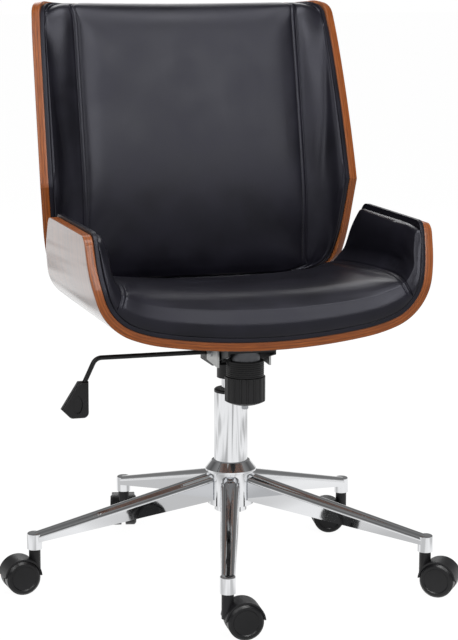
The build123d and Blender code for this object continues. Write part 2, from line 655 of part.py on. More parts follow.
# Tilt cradle: column socket, floor, two cheeks, spring nose and the lever's lugs
CRADLE_FRONT = PIVOT_AHEAD - PIVOT_BOSS
with BuildPart() as tilt_cradle:
    with BuildSketch(Plane.XZ):
        with BuildLine():
            Polyline(
                (LIFT_RADIUS + HOLD_FIT, SOCKET_BOTTOM),
                (SOCKET_DIAMETER / 2, SOCKET_BOTTOM),
                (SOCKET_DIAMETER / 2, CRADLE_TOP),
                (SOCKET_TOP_BORE, CRADLE_TOP),
                close=True,
            )
        make_face()
    revolve(axis=Axis.Z)
    with BuildSketch(Plane.XY.offset(CRADLE_TOP)):
        with Locations((0, (CRADLE_REAR - CRADLE_FRONT) / 2)):
            Rectangle(CHEEK_SPACING + 2 * CHEEK_WALL, CRADLE_REAR + CRADLE_FRONT)
            Circle(SOCKET_DIAMETER / 2 - CHEEK_WALL, mode=Mode.SUBTRACT)
    extrude(amount=-CRADLE_PLATE)
    for side in (-1, 1):
        with BuildSketch(Plane.YZ.offset(side * CHEEK_X)):
            with BuildLine():
                Polyline(
                    (CRADLE_REAR, CRADLE_TOP - CRADLE_PLATE),
                    (CRADLE_REAR, CHEEK_LOW_TOP),
                    (-PIVOT_AHEAD + CHEEK_SLOPE, CHEEK_LOW_TOP),
                    (-PIVOT_AHEAD + PIVOT_BOSS, PIVOT_HEIGHT),
                    (-PIVOT_AHEAD, NOSE_TOP),
                    (-NOSE_FRONT, NOSE_TOP),
                    (-NOSE_FRONT, NOSE_TOP - 2 * NOSE_PLATE),
                    (-PIVOT_AHEAD - PIVOT_BOSS, PIVOT_HEIGHT - PIVOT_BOSS),
                    (-CRADLE_FRONT, CRADLE_TOP - CRADLE_PLATE),
                    close=True,
                )
            make_face()
            with Locations((-PIVOT_AHEAD, PIVOT_HEIGHT)):
                Circle(PIVOT_DIAMETER / 2 + RUN_FIT, mode=Mode.SUBTRACT)
        extrude(amount=side * CHEEK_WALL)
    with BuildSketch(Plane.XY.offset(NOSE_TOP)):
        with Locations((0, -(NOSE_FRONT + NOSE_REAR) / 2)):
            Rectangle(CHEEK_SPACING + 2 * CHEEK_WALL, NOSE_FRONT - NOSE_REAR)
        with Locations((0, -TENSION_AHEAD)):
            SlotOverall(BOLT_SLOT_LENGTH, BOLT_SLOT_WIDTH, rotation=90, mode=Mode.SUBTRACT)
    extrude(amount=-NOSE_PLATE)
    for side in (-1, 1):
        with BuildSketch(Plane.XZ.offset(side * (BARREL_LENGTH / 2 + LAYER_GAP))):
            with Locations((LEVER_PIVOT_X, (CRADLE_TOP + LUG_TOP) / 2)):
                Rectangle(LUG_WIDTH, LUG_TOP - CRADLE_TOP)
            with Locations((LEVER_PIVOT_X, LEVER_HEIGHT)):
                Circle(JOURNAL_DIAMETER / 2 + RUN_FIT, mode=Mode.SUBTRACT)
        extrude(amount=side * LUG_WALL)
    with BuildSketch(Plane.XZ):
        with BuildLine():
            Polyline(
                (0, SOCKET_BOTTOM),
                (LIFT_RADIUS + HOLD_FIT, SOCKET_BOTTOM),
                (SOCKET_TOP_BORE, CRADLE_TOP),
                (0, CRADLE_TOP),
                close=True,
            )
        make_face()
    revolve(axis=Axis.Z, mode=Mode.SUBTRACT)
save(tilt_cradle, "tilt_cradle")

# Tilt pivot pin through the cheeks and the seat plate's flanges
with BuildPart() as tilt_pivot_pin:
    with BuildSketch(Plane.YZ):
        with Locations((-PIVOT_AHEAD, PIVOT_HEIGHT)):
            Circle(PIVOT_DIAMETER / 2)
    extrude(amount=FLANGE_X + SEAT_PLATE_WALL + FLANGE_SIDE_GAP, both=True)
save(tilt_pivot_pin, "tilt_pivot_pin")

# Lever: a cross-drilled barrel that rocks in the lugs, and the bent rod that slides through it
LEVER_AXIS = Plane((LEVER_PIVOT_X, 0, LEVER_HEIGHT), x_dir=(1, 0, 0), z_dir=(0, -1, 0))
with BuildPart() as lever_barrel:
    with BuildSketch(LEVER_AXIS):
        Circle(BARREL_DIAMETER / 2)
    extrude(amount=BARREL_LENGTH / 2, both=True)
    with BuildSketch(LEVER_AXIS):
        Circle(JOURNAL_DIAMETER / 2)
    extrude(amount=BARREL_LENGTH / 2 + LAYER_GAP + LUG_WALL, both=True)
    with BuildSketch(Plane.YZ.offset(LEVER_PIVOT_X)):
        with Locations((0, LEVER_HEIGHT)):
            Circle(LEVER_DIAMETER / 2 + RUN_FIT)
    extrude(amount=BARREL_DIAMETER, both=True, mode=Mode.SUBTRACT)
save(lever_barrel, "lever_barrel")

with BuildPart() as lever_rod:
    with BuildLine() as lever_path:
        FilletPolyline(
            (LEVER_TIP_X, 0, LEVER_HEIGHT),
            (LEVER_BEND_X, 0, LEVER_HEIGHT),
            (LEVER_END_X, 0, LEVER_END_Z),
            radius=LEVER_BEND_RADIUS,
        )
    with BuildSketch(Plane(lever_path.line @ 0, z_dir=lever_path.line % 0)):
        Circle(LEVER_DIAMETER / 2)
    sweep()
save(lever_rod, "lever_rod")

with BuildPart() as lever_paddle:
    with BuildSketch(Plane.XZ) as paddle_face:
        with BuildLine():
            Polyline(
                (PADDLE_TOP_X - PADDLE_TOP_WIDTH / 2, PADDLE_TOP_Z),
                (PADDLE_TOP_X + PADDLE_TOP_WIDTH / 2, PADDLE_TOP_Z),
                (PADDLE_TOP_X + PADDLE_TOP_WIDTH / 2, PADDLE_TOP_Z - PADDLE_HEIGHT),
                (PADDLE_TOP_X - PADDLE_HEEL, PADDLE_TOP_Z - PADDLE_HEIGHT),
                (PADDLE_TOP_X - PADDLE_SPREAD, PADDLE_TOP_Z - PADDLE_CORNER_HEIGHT),
                close=True,
            )
        make_face()
        fillet(paddle_face.vertices().group_by(Axis.Y)[0], PADDLE_ROUND)
    extrude(amount=PADDLE_THICKNESS / 2, both=True)
    fillet(lever_paddle.edges().filter_by(Plane.XZ), PADDLE_EDGE)
    with BuildSketch(Plane.XZ.offset(PADDLE_THICKNESS / 2)):
        with Locations((PADDLE_TOP_X - PADDLE_HEEL / 2, PADDLE_TOP_Z - THUMB_DROP)):
            Ellipse(PADDLE_TOP_WIDTH / 2, THUMB_HEIGHT / 2)
    extrude(amount=-THUMB_DEPTH, mode=Mode.SUBTRACT)
    sweep_axis = Vector(LEVER_END_X - LEVER_BEND_X, 0, LEVER_END_Z - LEVER_HEIGHT)
    with BuildSketch(Plane((LEVER_END_X, 0, LEVER_END_Z), z_dir=-sweep_axis)):
        Circle(LEVER_DIAMETER / 2 + HOLD_FIT)
    extrude(amount=PADDLE_HEIGHT, mode=Mode.SUBTRACT)
save(lever_paddle, "lever_paddle")


def seat_bolts():
    """Places of the upright bolts, each with the underside its head bears on."""
    for x in (-PLATE_BOLT_X, PLATE_BOLT_X):
        for y in (-PLATE_BOLT_FRONT, PLATE_BOLT_REAR):
            yield x, y, SEAT_PLATE_BOTTOM
    for x in (-BRACKET_BOLT_X, BRACKET_BOLT_X):
        for y in BRACKET_SEAT_BOLTS:
            yield x, y, SEAT_BASE - LAYER_GAP - BRACKET_WALL


def shell_top(x):
    """Height of the seat shell's upper face over a place near its middle."""
    radius = SEAT_BENDS[0][0]
    return SEAT_BASE + radius - ((radius - PLY) ** 2 - x ** 2) ** 0.5


# Seat plate: pressed steel with two bent-down flanges and raised pads at the bolts
with BuildPart() as seat_plate:
    with BuildSketch(Plane.XY.offset(SEAT_PLATE_BOTTOM)):
        with Locations((0, (SEAT_PLATE_REAR - SEAT_PLATE_FRONT) / 2)):
            RectangleRounded(SEAT_PLATE_WIDTH, SEAT_PLATE_FRONT + SEAT_PLATE_REAR, PAD_DIAMETER / 2)
    extrude(amount=SEAT_PLATE_WALL)
    for side, rear in ((-1, FLANGE_REAR_LEFT), (1, FLANGE_REAR_RIGHT)):
        with BuildSketch(Plane.YZ.offset(side * FLANGE_X)):
            with BuildLine():
                Polyline(
                    (-FLANGE_FRONT, SEAT_PLATE_BOTTOM),
                    (-FLANGE_FRONT, FLANGE_BOTTOM),
                    (rear, FLANGE_BOTTOM + FLANGE_STEP),
                    (rear, SEAT_PLATE_BOTTOM),
                    close=True,
                )
            make_face()
            with Locations((-PIVOT_AHEAD, PIVOT_HEIGHT)):
                Circle(PIVOT_DIAMETER / 2 + HOLD_FIT, mode=Mode.SUBTRACT)
            with Locations((0, LEVER_HEIGHT)):
                Circle(LOCK_HOLE_DIAMETER / 2, mode=Mode.SUBTRACT)
        extrude(amount=side * SEAT_PLATE_WALL)
    with BuildSketch(Plane.XY.offset(SEAT_PLATE_TOP)):
        for x, y, seat in seat_bolts():
            if seat == SEAT_PLATE_BOTTOM:
                with Locations((x, y)):
                    Circle(PAD_DIAMETER / 2)
    extrude(amount=PAD_DIAMETER)
    with BuildSketch(SEAT_PLANE):
        with BuildLine():
            floor_arc = JernArc((0, -FACE_GAP), (1, 0), SEAT_BENDS[0][0] + FACE_GAP, SEAT_BENDS[0][1])
            Polyline(floor_arc @ 1, (SEAT_PLATE_WIDTH, OUTLINE_MARGIN), (0, OUTLINE_MARGIN), (0, -FACE_GAP))
        make_face()
        mirror(about=Plane.YZ)
    extrude(amount=SEAT_PLATE_FRONT + SEAT_PLATE_REAR, both=True, mode=Mode.SUBTRACT)
    with BuildSketch(Plane.XY.offset(SEAT_PLATE_BOTTOM)):
        for x, y, seat in seat_bolts():
            if seat == SEAT_PLATE_BOTTOM:
                with Locations((x, y)):
                    Circle(BOLT_DIAMETER / 2 + HOLD_FIT)
        with Locations((0, -TENSION_AHEAD)):
            Circle(TENSION_BOLT_DIAMETER / 2 + HOLD_FIT)
    extrude(amount=PAD_DIAMETER, mode=Mode.SUBTRACT)
save(seat_plate, "seat_plate")

# Tension bolt: a low head on the plate, hanging through the nose and the spring
TENSION_HEAD = SEAT_PLATE_DROP - FACE_GAP
with BuildPart() as tension_bolt:
    with BuildSketch(Plane.XY.offset(TENSION_BOLT_BOTTOM)):
        with Locations((0, -TENSION_AHEAD)):
            Circle(TENSION_BOLT_DIAMETER / 2)
    extrude(amount=SEAT_PLATE_TOP - TENSION_BOLT_BOTTOM)
    with BuildSketch(Plane.XY.offset(SEAT_PLATE_TOP)):
        with Locations((0, -TENSION_AHEAD)):
            Circle(TENSION_HEAD_DIAMETER / 2)
    extrude(amount=TENSION_HEAD)
    chamfer(tension_bolt.edges().group_by(Axis.Z)[0], TENSION_BOLT_CHAMFER)
save(tension_bolt, "tension_bolt")

TENSION_PLACE = Location((0, -TENSION_AHEAD, 0))
SLEEVE_NECK = KNOB_DIAMETER / 2 - KNOB_WALL - LAYER_GAP
WASHER_BOTTOM = KNOB_FLOOR_TOP + LAYER_GAP

# Fluted knob: a cup with a domed floor and a pocket for its nut
with BuildPart() as tension_knob:
    with BuildSketch(Plane.XY.offset(KNOB_BOTTOM)):
        with Locations(TENSION_PLACE):
            Circle(KNOB_DIAMETER / 2)
            with PolarLocations(KNOB_DIAMETER / 2 + KNOB_FLUTE_RADIUS / 2, KNOB_FLUTES):
                Circle(KNOB_FLUTE_RADIUS, mode=Mode.SUBTRACT)
    extrude(amount=KNOB_TOP - KNOB_BOTTOM)
    with BuildSketch(Plane((0, -TENSION_AHEAD, KNOB_BOTTOM), x_dir=(1, 0, 0), z_dir=(0, -1, 0))):
        with BuildLine():
            ThreePointArc(
                (0, 0),
                (KNOB_DOME_MID, KNOB_DOME_LOW),
                (KNOB_DIAMETER / 2, KNOB_DOME),
            )
            Polyline(
                (KNOB_DIAMETER / 2, KNOB_DOME),
                (KNOB_DIAMETER, KNOB_DOME),
                (KNOB_DIAMETER, -KNOB_DOME),
                (0, -KNOB_DOME),
                (0, 0),
            )
        make_face()
    revolve(axis=Axis((0, -TENSION_AHEAD, 0), (0, 0, 1)), mode=Mode.SUBTRACT)
    with BuildSketch(Plane.XY.offset(KNOB_FLOOR_TOP)):
        with Locations(TENSION_PLACE):
            Circle(KNOB_DIAMETER / 2 - KNOB_WALL)
    extrude(amount=KNOB_TOP, mode=Mode.SUBTRACT)
    with BuildSketch(Plane.XY.offset(KNOB_FLOOR_TOP - NUT_HEIGHT - FACE_GAP)):
        with Locations(TENSION_PLACE):
            RegularPolygon(NUT_FLATS / 2 + HOLD_FIT, 6, major_radius=False)
    extrude(amount=KNOB_TOP, mode=Mode.SUBTRACT)
    with BuildSketch(Plane.XY):
        with Locations(TENSION_PLACE):
            Circle(TENSION_BOLT_DIAMETER / 2 + RUN_FIT)
    extrude(amount=KNOB_TOP, mode=Mode.SUBTRACT)
save(tension_knob, "tension_knob")

with BuildPart() as tension_nut:
    with BuildSketch(Plane.XY.offset(KNOB_FLOOR_TOP - NUT_HEIGHT)):
        with Locations(TENSION_PLACE):
            RegularPolygon(NUT_FLATS / 2, 6, major_radius=False)
            Circle(TENSION_BOLT_DIAMETER / 2 + RUN_FIT, mode=Mode.SUBTRACT)
    extrude(amount=NUT_HEIGHT)
save(tension_nut, "tension_nut")

with BuildPart() as tension_washer:
    with BuildSketch(Plane.XY.offset(WASHER_BOTTOM)):
        with Locations(TENSION_PLACE):
            Circle(SLEEVE_NECK)
            Circle(TENSION_BOLT_DIAMETER / 2 + RUN_FIT, mode=Mode.SUBTRACT)
    extrude(amount=WASHER_HEIGHT)
save(tension_washer, "tension_washer")

# Ribbed sleeve round the spring: its neck drops into the knob and stands on the washer
SLEEVE_BOTTOM = WASHER_BOTTOM + WASHER_HEIGHT
RIB_PITCH = (SLEEVE_TOP - KNOB_TOP - LAYER_GAP) / SLEEVE_RIBS
with BuildPart() as tension_sleeve:
    with BuildSketch(Plane.XY.offset(SLEEVE_BOTTOM)):
        with Locations(TENSION_PLACE):
            Circle(SLEEVE_NECK)
    extrude(amount=SLEEVE_TOP - SLEEVE_BOTTOM)
    for index in range(SLEEVE_RIBS):
        with BuildSketch(Plane.XY.offset(KNOB_TOP + LAYER_GAP + index * RIB_PITCH)):
            with Locations(TENSION_PLACE):
                Circle(SLEEVE_DIAMETER / 2 - SLEEVE_RIB_DEPTH)
        extrude(amount=RIB_PITCH)
        with BuildSketch(Plane.XY.offset(KNOB_TOP + LAYER_GAP + index * RIB_PITCH + RIB_PITCH / 4)):
            with Locations(TENSION_PLACE):
                Circle(SLEEVE_DIAMETER / 2)
        extrude(amount=RIB_PITCH / 2)
    with BuildSketch(Plane.XY):
        with Locations(TENSION_PLACE):
            Circle(SLEEVE_BORE / 2)
    extrude(amount=SEAT_BASE, mode=Mode.SUBTRACT)
save(tension_sleeve, "tension_sleeve")

# Tension spring, hidden by sleeve and knob: a plain tube between washer and nose
with BuildPart() as tension_spring:
    with BuildSketch(Plane.XY.offset(SLEEVE_BOTTOM + FACE_GAP)):
        with Locations(TENSION_PLACE):
            Circle(SPRING_DIAMETER / 2)
            Circle(SPRING_DIAMETER / 2 - SPRING_WIRE, mode=Mode.SUBTRACT)
    extrude(amount=NOSE_TOP - NOSE_PLATE - SLEEVE_BOTTOM - 2 * FACE_GAP)
save(tension_spring, "tension_spring")


def seat_outline(margin, front, rear, arm_front, arm_top, arm_rear):
    """Sketch the seat's side outline, grown by a margin, with its own front, rear and arm."""
    with BuildSketch(Plane.YZ) as outline:
        with BuildLine():
            Polyline(
                (-front, SEAT_BASE - OUTLINE_MARGIN),
                (-front, ARM_FRONT_BREAK),
                (-arm_front, arm_top),
                (arm_rear, arm_top),
                (ARM_REAR_MID + margin, ARM_REAR_MID_HEIGHT),
                (rear, SEAT_REAR_HEIGHT),
                (rear, SEAT_BASE - OUTLINE_MARGIN),
                close=True,
            )
        make_face()
        top = outline.vertices().group_by(Axis.Y)[-1].sort_by(Axis.X)
        fillet(top[0], ARM_FRONT_ROUND)
        fillet(outline.vertices().group_by(Axis.Y)[-1].sort_by(Axis.X)[-1], ARM_REAR_ROUND)
        knee = outline.vertices().filter_by_position(Axis.X, -front - PICK_ROOM, -front + PICK_ROOM)
        fillet(knee.sort_by(Axis.Y)[-1], OUTLINE_MARGIN)
        heel = outline.vertices().filter_by_position(Axis.X, rear - PICK_ROOM, rear + PICK_ROOM)
        fillet(heel.sort_by(Axis.Y)[-1], SEAT_REAR_ROUND)
    return outline.sketch


SHELL_REACH = SEAT_FRONT + SEAT_REAR + OUTLINE_MARGIN
SHELL_HALF_WIDTH = SEAT_PLATE_WIDTH * 2

# Seat shell: bent plywood, cut to its outline, drilled for the tee nuts
with BuildPart() as seat_shell:
    with BuildSketch(SEAT_PLANE):
        with BuildLine():
            sheet_half(SEAT_BENDS, ARM_RISE, 0, PLY)
        make_face()
        mirror(about=Plane.YZ)
    extrude(amount=SHELL_REACH, both=True)
    extrude(
        seat_outline(0, SEAT_FRONT, SEAT_REAR, ARM_FRONT_TOP, ARM_TOP, ARM_REAR_TOP),
        amount=SHELL_HALF_WIDTH,
        both=True,
        mode=Mode.INTERSECT,
    )
    for x, y, seat in seat_bolts():
        with BuildSketch(Plane.XY.offset(SEAT_BASE - LAYER_GAP)):
            with Locations((x, y)):
                Circle(BOLT_DIAMETER / 2 + TEE_BARREL_WALL + HOLD_FIT)
        extrude(amount=OUTLINE_MARGIN, mode=Mode.SUBTRACT)
        with BuildSketch(Plane.XY.offset(shell_top(x) - TEE_RECESS)):
            with Locations((x, y)):
                Circle(TEE_FLANGE_DIAMETER / 2 + HOLD_FIT)
        extrude(amount=OUTLINE_MARGIN, mode=Mode.SUBTRACT)
save(seat_shell, "seat_shell")

# Seat liner: a wrapped board between the plywood and the pad
with BuildPart() as seat_liner:
    with BuildSketch(SEAT_PLANE):
        with BuildLine():
            sheet_half(SEAT_BENDS, ARM_RISE, LINER_DEPTH, LINER_DEPTH + LINER)
        make_face()
        mirror(about=Plane.YZ)
    extrude(amount=SHELL_REACH, both=True)
    extrude(
        seat_outline(
            -LINER_INSET,
            SEAT_FRONT + LINER_INSET,
            SEAT_REAR - LINER_INSET,
            ARM_FRONT_TOP + LINER_INSET,
            ARM_TOP + LINER_PROUD,
            ARM_REAR_TOP - LINER_INSET,
        ),
        amount=SHELL_HALF_WIDTH,
        both=True,
        mode=Mode.INTERSECT,
    )
save(seat_liner, "seat_liner")

# Seat cushion: lofted from front to rear, crowned, with a sewn groove below each arm
with BuildPart() as seat_cushion:
    for share, face in SEAT_PAD_STATIONS:
        with BuildSketch(SEAT_PLANE.offset(share * SEAT_PAD_FRONT)):
            with BuildLine():
                pad_half(
                    SEAT_BENDS,
                    ARM_RISE / 2,
                    PAD_DEPTH,
                    face,
                    SEAT_PAD_BENDS,
                    SEAT_PAD_ARM_BEND,
                    (ARM_PAD_X, ARM_PAD_TOP),
                    ARM_PAD_CROWN,
                )
            make_face()
            mirror(about=Plane.YZ)
    loft(ruled=True)
    extrude(
        seat_outline(
            -LINER_INSET,
            SEAT_PAD_FRONT,
            SEAT_PAD_REAR,
            ARM_FRONT_TOP + ARM_PAD_PROUD,
            ARM_TOP + LINER_PROUD,
            ARM_PAD_REAR,
        ),
        amount=SHELL_HALF_WIDTH,
        both=True,
        mode=Mode.INTERSECT,
    )
save(seat_cushion, "seat_cushion")


def back_outline(margin, top):
    """Sketch the back's side outline, grown forward by a margin, up to a height."""
    with BuildSketch(BACK_SIDE) as outline:
        with BuildLine():
            Polyline(
                (-OUTLINE_MARGIN, top),
                (-OUTLINE_MARGIN, -OUTLINE_MARGIN),
                (WING_FOOT_DEPTH + margin, -OUTLINE_MARGIN),
                (WING_FOOT_DEPTH + margin, WING_FOOT_HEIGHT),
                (WING_KINK_DEPTH + margin, WING_KINK_HEIGHT),
            )
            ThreePointArc(
                (WING_KINK_DEPTH + margin, WING_KINK_HEIGHT),
                (WING_MID_DEPTH + margin, WING_MID_HEIGHT),
                (WING_TOP_DEPTH + margin, top),
            )
            Line((WING_TOP_DEPTH + margin, top), (-OUTLINE_MARGIN, top))
        make_face()
        crest = outline.vertices().group_by(Axis.Y)[-1].sort_by(Axis.X)[-1]
        fillet(crest, BACK_TOP_ROUND)
    return outline.sketch


def back_front(half_width, foot, top, foot_round, top_round):
    """Sketch the back's outline as seen from the front, with rounded corners."""
    with BuildSketch(BACK_FACE) as outline:
        with Locations((0, (foot + top) / 2)):
            Rectangle(2 * half_width, top - foot)
        fillet(outline.vertices().group_by(Axis.Y)[0], foot_round)
        fillet(outline.vertices().group_by(Axis.Y)[-1], top_round)
    return outline.sketch


def back_bolts():
    """Places across the back and up its slope of the bolts through the bracket."""
    for x in (-BRACKET_BOLT_X, BRACKET_BOLT_X):
        for height in BRACKET_BACK_BOLTS:
            yield x, height


BACK_REACH = 2 * BACK_CORNER_WIDTH

# Back shell: bent plywood with wings, drilled for the tee nuts
with BuildPart() as back_shell:
    with BuildSketch(back_level(0)):
        with BuildLine():
            sheet_half(BACK_BENDS, WING_RISE, 0, PLY)
        make_face()
        mirror(about=Plane.YZ)
    extrude(amount=BACK_HEIGHT)
    extrude(back_outline(0, BACK_HEIGHT), amount=BACK_REACH, both=True, mode=Mode.INTERSECT)
    extrude(
        back_front(BACK_CORNER_WIDTH, 0, BACK_HEIGHT, BACK_CORNER_ROUND, BACK_TOP_CORNER),
        amount=BACK_REACH,
        both=True,
        mode=Mode.INTERSECT,
    )
    for x, height in back_bolts():
        with BuildSketch(BACK_FACE):
            with Locations((x, height)):
                Circle(BOLT_DIAMETER / 2 + TEE_BARREL_WALL + HOLD_FIT)
        extrude(amount=2 * PLY, mode=Mode.SUBTRACT)
        with BuildSketch(BACK_FACE.offset(PLY - TEE_RECESS)):
            with Locations((x, height)):
                Circle(TEE_FLANGE_DIAMETER / 2 + HOLD_FIT)
        extrude(amount=2 * PLY, mode=Mode.SUBTRACT)
save(back_shell, "back_shell")

with BuildPart() as back_liner:
    with BuildSketch(back_level(LINER_INSET)):
        with BuildLine():
            sheet_half(BACK_BENDS, WING_RISE, LINER_DEPTH, LINER_DEPTH + LINER)
        make_face()
        mirror(about=Plane.YZ)
    extrude(amount=BACK_HEIGHT - 2 * LINER_INSET)
    extrude(
        back_outline(LINER_INSET, BACK_HEIGHT - LINER_INSET),
        amount=BACK_REACH,
        both=True,
        mode=Mode.INTERSECT,
    )
    extrude(
        back_front(
            BACK_CORNER_WIDTH - PLY,
            LINER_INSET,
            BACK_HEIGHT - LINER_INSET,
            BACK_CORNER_ROUND,
            BACK_TOP_CORNER,
        ),
        amount=BACK_REACH,
        both=True,
        mode=Mode.INTERSECT,
    )
save(back_liner, "back_liner")

# Back cushion: lofted up the slope, crowned, with a sewn groove inside each wing
PAD_FOOT = BACK_PAD_STATIONS[0][0]
PAD_HEAD = BACK_PAD_STATIONS[-1][0]
with BuildPart() as back_cushion:
    for height, face in BACK_PAD_STATIONS:
        with BuildSketch(back_level(height)):
            with BuildLine():
                pad_half(
                    BACK_BENDS,
                    WING_RISE,
                    PAD_DEPTH,
                    face,
                    BACK_PAD_BENDS,
                    BACK_PAD_WING_BEND,
                    (BACK_PAD_WING_X, BACK_PAD_TIP),
                    BACK_PAD_CROWN,
                )
            make_face()
            mirror(about=Plane.YZ)
    loft(ruled=True)
    extrude(
        back_outline(BACK_PAD_PROUD, PAD_HEAD),
        amount=BACK_REACH,
        both=True,
        mode=Mode.INTERSECT,
    )
    extrude(
        back_front(BACK_PAD_HALF_WIDTH, PAD_FOOT, PAD_HEAD, BACK_PAD_CORNER, BACK_TOP_CORNER),
        amount=BACK_REACH,
        both=True,
        mode=Mode.INTERSECT,
    )
save(back_cushion, "back_cushion")

# Bracket: a bent steel strap from under the seat up behind the back
STRAP_LEVEL = SEAT_BASE - LAYER_GAP - BRACKET_WALL / 2
STRAP_SETBACK = LAYER_GAP + BRACKET_WALL / 2
STRAP_LINE = BACK_FOOT - BACK_AHEAD * STRAP_SETBACK
STRAP_CORNER = STRAP_LINE + BACK_UP * ((STRAP_LEVEL - STRAP_LINE.Z) / cos(LEAN))
STRAP_TOP = STRAP_LINE + BACK_UP * BRACKET_RISE
with BuildPart() as back_bracket:
    with BuildLine() as strap_path:
        FilletPolyline(
            (0, BRACKET_FRONT, STRAP_LEVEL),
            STRAP_CORNER,
            STRAP_TOP,
            radius=BRACKET_BEND,
        )
    with BuildSketch(Plane(strap_path.line @ 0, x_dir=(1, 0, 0), z_dir=strap_path.line % 0)):
        Rectangle(BRACKET_WIDTH, BRACKET_WALL)
    sweep()
    with BuildSketch(Plane.XY):
        for x, y, seat in seat_bolts():
            if seat != SEAT_PLATE_BOTTOM:
                with Locations((x, y)):
                    Circle(BOLT_DIAMETER / 2 + HOLD_FIT)
    extrude(amount=SEAT_BASE, mode=Mode.SUBTRACT)
    with BuildSketch(BACK_FACE):
        for x, height in back_bolts():
            with Locations((x, height)):
                Circle(BOLT_DIAMETER / 2 + HOLD_FIT)
    extrude(amount=-2 * BRACKET_WALL, mode=Mode.SUBTRACT)
save(back_bracket, "back_bracket")

# Bolts and tee nuts that hold the plate, the bracket and the two shells together
with BuildPart() as bolt_blank:
    with BuildSketch(Plane.XY):
        Circle(BOLT_DIAMETER / 2)
    extrude(amount=BOLT_REACH)
    with BuildSketch(Plane.XY.offset(-FACE_GAP)):
        Circle(BOLT_HEAD_DIAMETER / 2)
    extrude(amount=-BOLT_HEAD_HEIGHT)
    with BuildSketch(Plane.XY):
        Circle(BOLT_DIAMETER / 2)
    extrude(amount=-BOLT_HEAD_HEIGHT)
    fillet(bolt_blank.edges().group_by(Axis.Z)[0], BOLT_HEAD_ROUND)

with BuildPart() as tee_nut_blank:
    with BuildSketch(Plane.XY):
        Circle(BOLT_DIAMETER / 2 + TEE_BARREL_WALL)
        Circle(BOLT_DIAMETER / 2 + HOLD_FIT, mode=Mode.SUBTRACT)
    extrude(amount=-TEE_BARREL_LENGTH)
    with BuildSketch(Plane.XY):
        Circle(TEE_FLANGE_DIAMETER / 2)
        Circle(BOLT_DIAMETER / 2 + HOLD_FIT, mode=Mode.SUBTRACT)
    extrude(amount=TEE_FLANGE)

BACK_BOLT_FACE = BACK_FACE.offset(-LAYER_GAP - BRACKET_WALL)
BACK_NUT_FACE = BACK_FACE.offset(PLY - TEE_RECESS + FACE_GAP)
with BuildPart() as shell_bolts:
    for x, y, seat in seat_bolts():
        with Locations((x, y, seat)):
            add(bolt_blank.part)
    for x, height in back_bolts():
        add(BACK_BOLT_FACE * Location((x, height, 0)) * bolt_blank.part)
save(shell_bolts, "shell_bolts")

with BuildPart() as shell_tee_nuts:
    for x, y, seat in seat_bolts():
        with Locations((x, y, shell_top(x) - TEE_RECESS + FACE_GAP)):
            add(tee_nut_blank.part)
    for x, height in back_bolts():
        add(BACK_NUT_FACE * Location((x, height, 0)) * tee_nut_blank.part)
save(shell_tee_nuts, "shell_tee_nuts")
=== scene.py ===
"""Looks of the office chair: veneered shells, leather pads, chromed base and moulded parts.

Metres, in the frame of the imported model: floor under the column, +Z up, the chair faces -Y.
Sizes of the sheets and pads are written in millimetres, as on a drawing, and scaled once.
"""
import json
import logging
import math
from dataclasses import dataclass, field
from enum import Enum

import bmesh
import bpy
import numpy as np
from mathutils import Matrix, Vector


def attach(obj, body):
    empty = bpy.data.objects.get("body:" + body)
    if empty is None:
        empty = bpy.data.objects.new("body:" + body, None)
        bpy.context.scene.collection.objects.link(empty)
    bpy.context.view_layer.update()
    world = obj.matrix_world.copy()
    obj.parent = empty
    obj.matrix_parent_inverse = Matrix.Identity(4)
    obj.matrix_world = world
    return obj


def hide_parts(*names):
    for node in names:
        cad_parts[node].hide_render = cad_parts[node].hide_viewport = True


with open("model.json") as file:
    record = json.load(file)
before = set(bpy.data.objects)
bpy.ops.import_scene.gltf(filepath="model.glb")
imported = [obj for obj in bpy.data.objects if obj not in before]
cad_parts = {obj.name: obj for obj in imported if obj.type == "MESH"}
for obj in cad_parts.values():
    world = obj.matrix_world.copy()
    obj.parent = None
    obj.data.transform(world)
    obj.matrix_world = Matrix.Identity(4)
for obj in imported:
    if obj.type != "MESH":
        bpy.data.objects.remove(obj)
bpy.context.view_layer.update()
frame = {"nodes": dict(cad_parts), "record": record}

MM = 0.001
LOG = logging.getLogger("office_chair")


class Slot(Enum):
    """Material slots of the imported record."""

    CHROME = "chromed_steel"
    BRIGHT = "bright_steel"
    ZINC = "zinc_steel"
    SPRING = "spring_steel"
    COATED = "black_steel"
    PLASTIC = "black_plastic"
    WHEEL = "wheel_nylon"
    WALNUT = "walnut_ply"
    LINER = "liner_leather"
    PAD = "pad_leather"


def linear(code: str) -> tuple[float, float, float, float]:
    """Turn an sRGB hex colour into linear light.

    Args:
        code: Colour such as "#a1622f".

    Returns:
        Red, green, blue and an alpha of one.
    """
    channels = [int(code[i:i + 2], 16) / 255 for i in (1, 3, 5)]
    light = [c / 12.92 if c <= 0.04045 else ((c + 0.055) / 1.055) ** 2.4 for c in channels]
    return (*light, 1.0)


def add_node(tree: bpy.types.NodeTree, kind: str, inputs: dict | None = None, **settings) -> bpy.types.Node:
    """Add a node, set its properties, and set or link its inputs.

    Args:
        tree: Node tree that takes the node.
        kind: Blender's type name of the node.
        inputs: Socket name or number to a value, or to a socket to link from.
        settings: Properties of the node.

    Returns:
        The new node.
    """
    node = tree.nodes.new(kind)
    for name, value in settings.items():
        setattr(node, name, value)
    for key, value in (inputs or {}).items():
        if isinstance(value, bpy.types.NodeSocket):
            tree.links.new(value, node.inputs[key])
        else:
            node.inputs[key].default_value = value
    return node


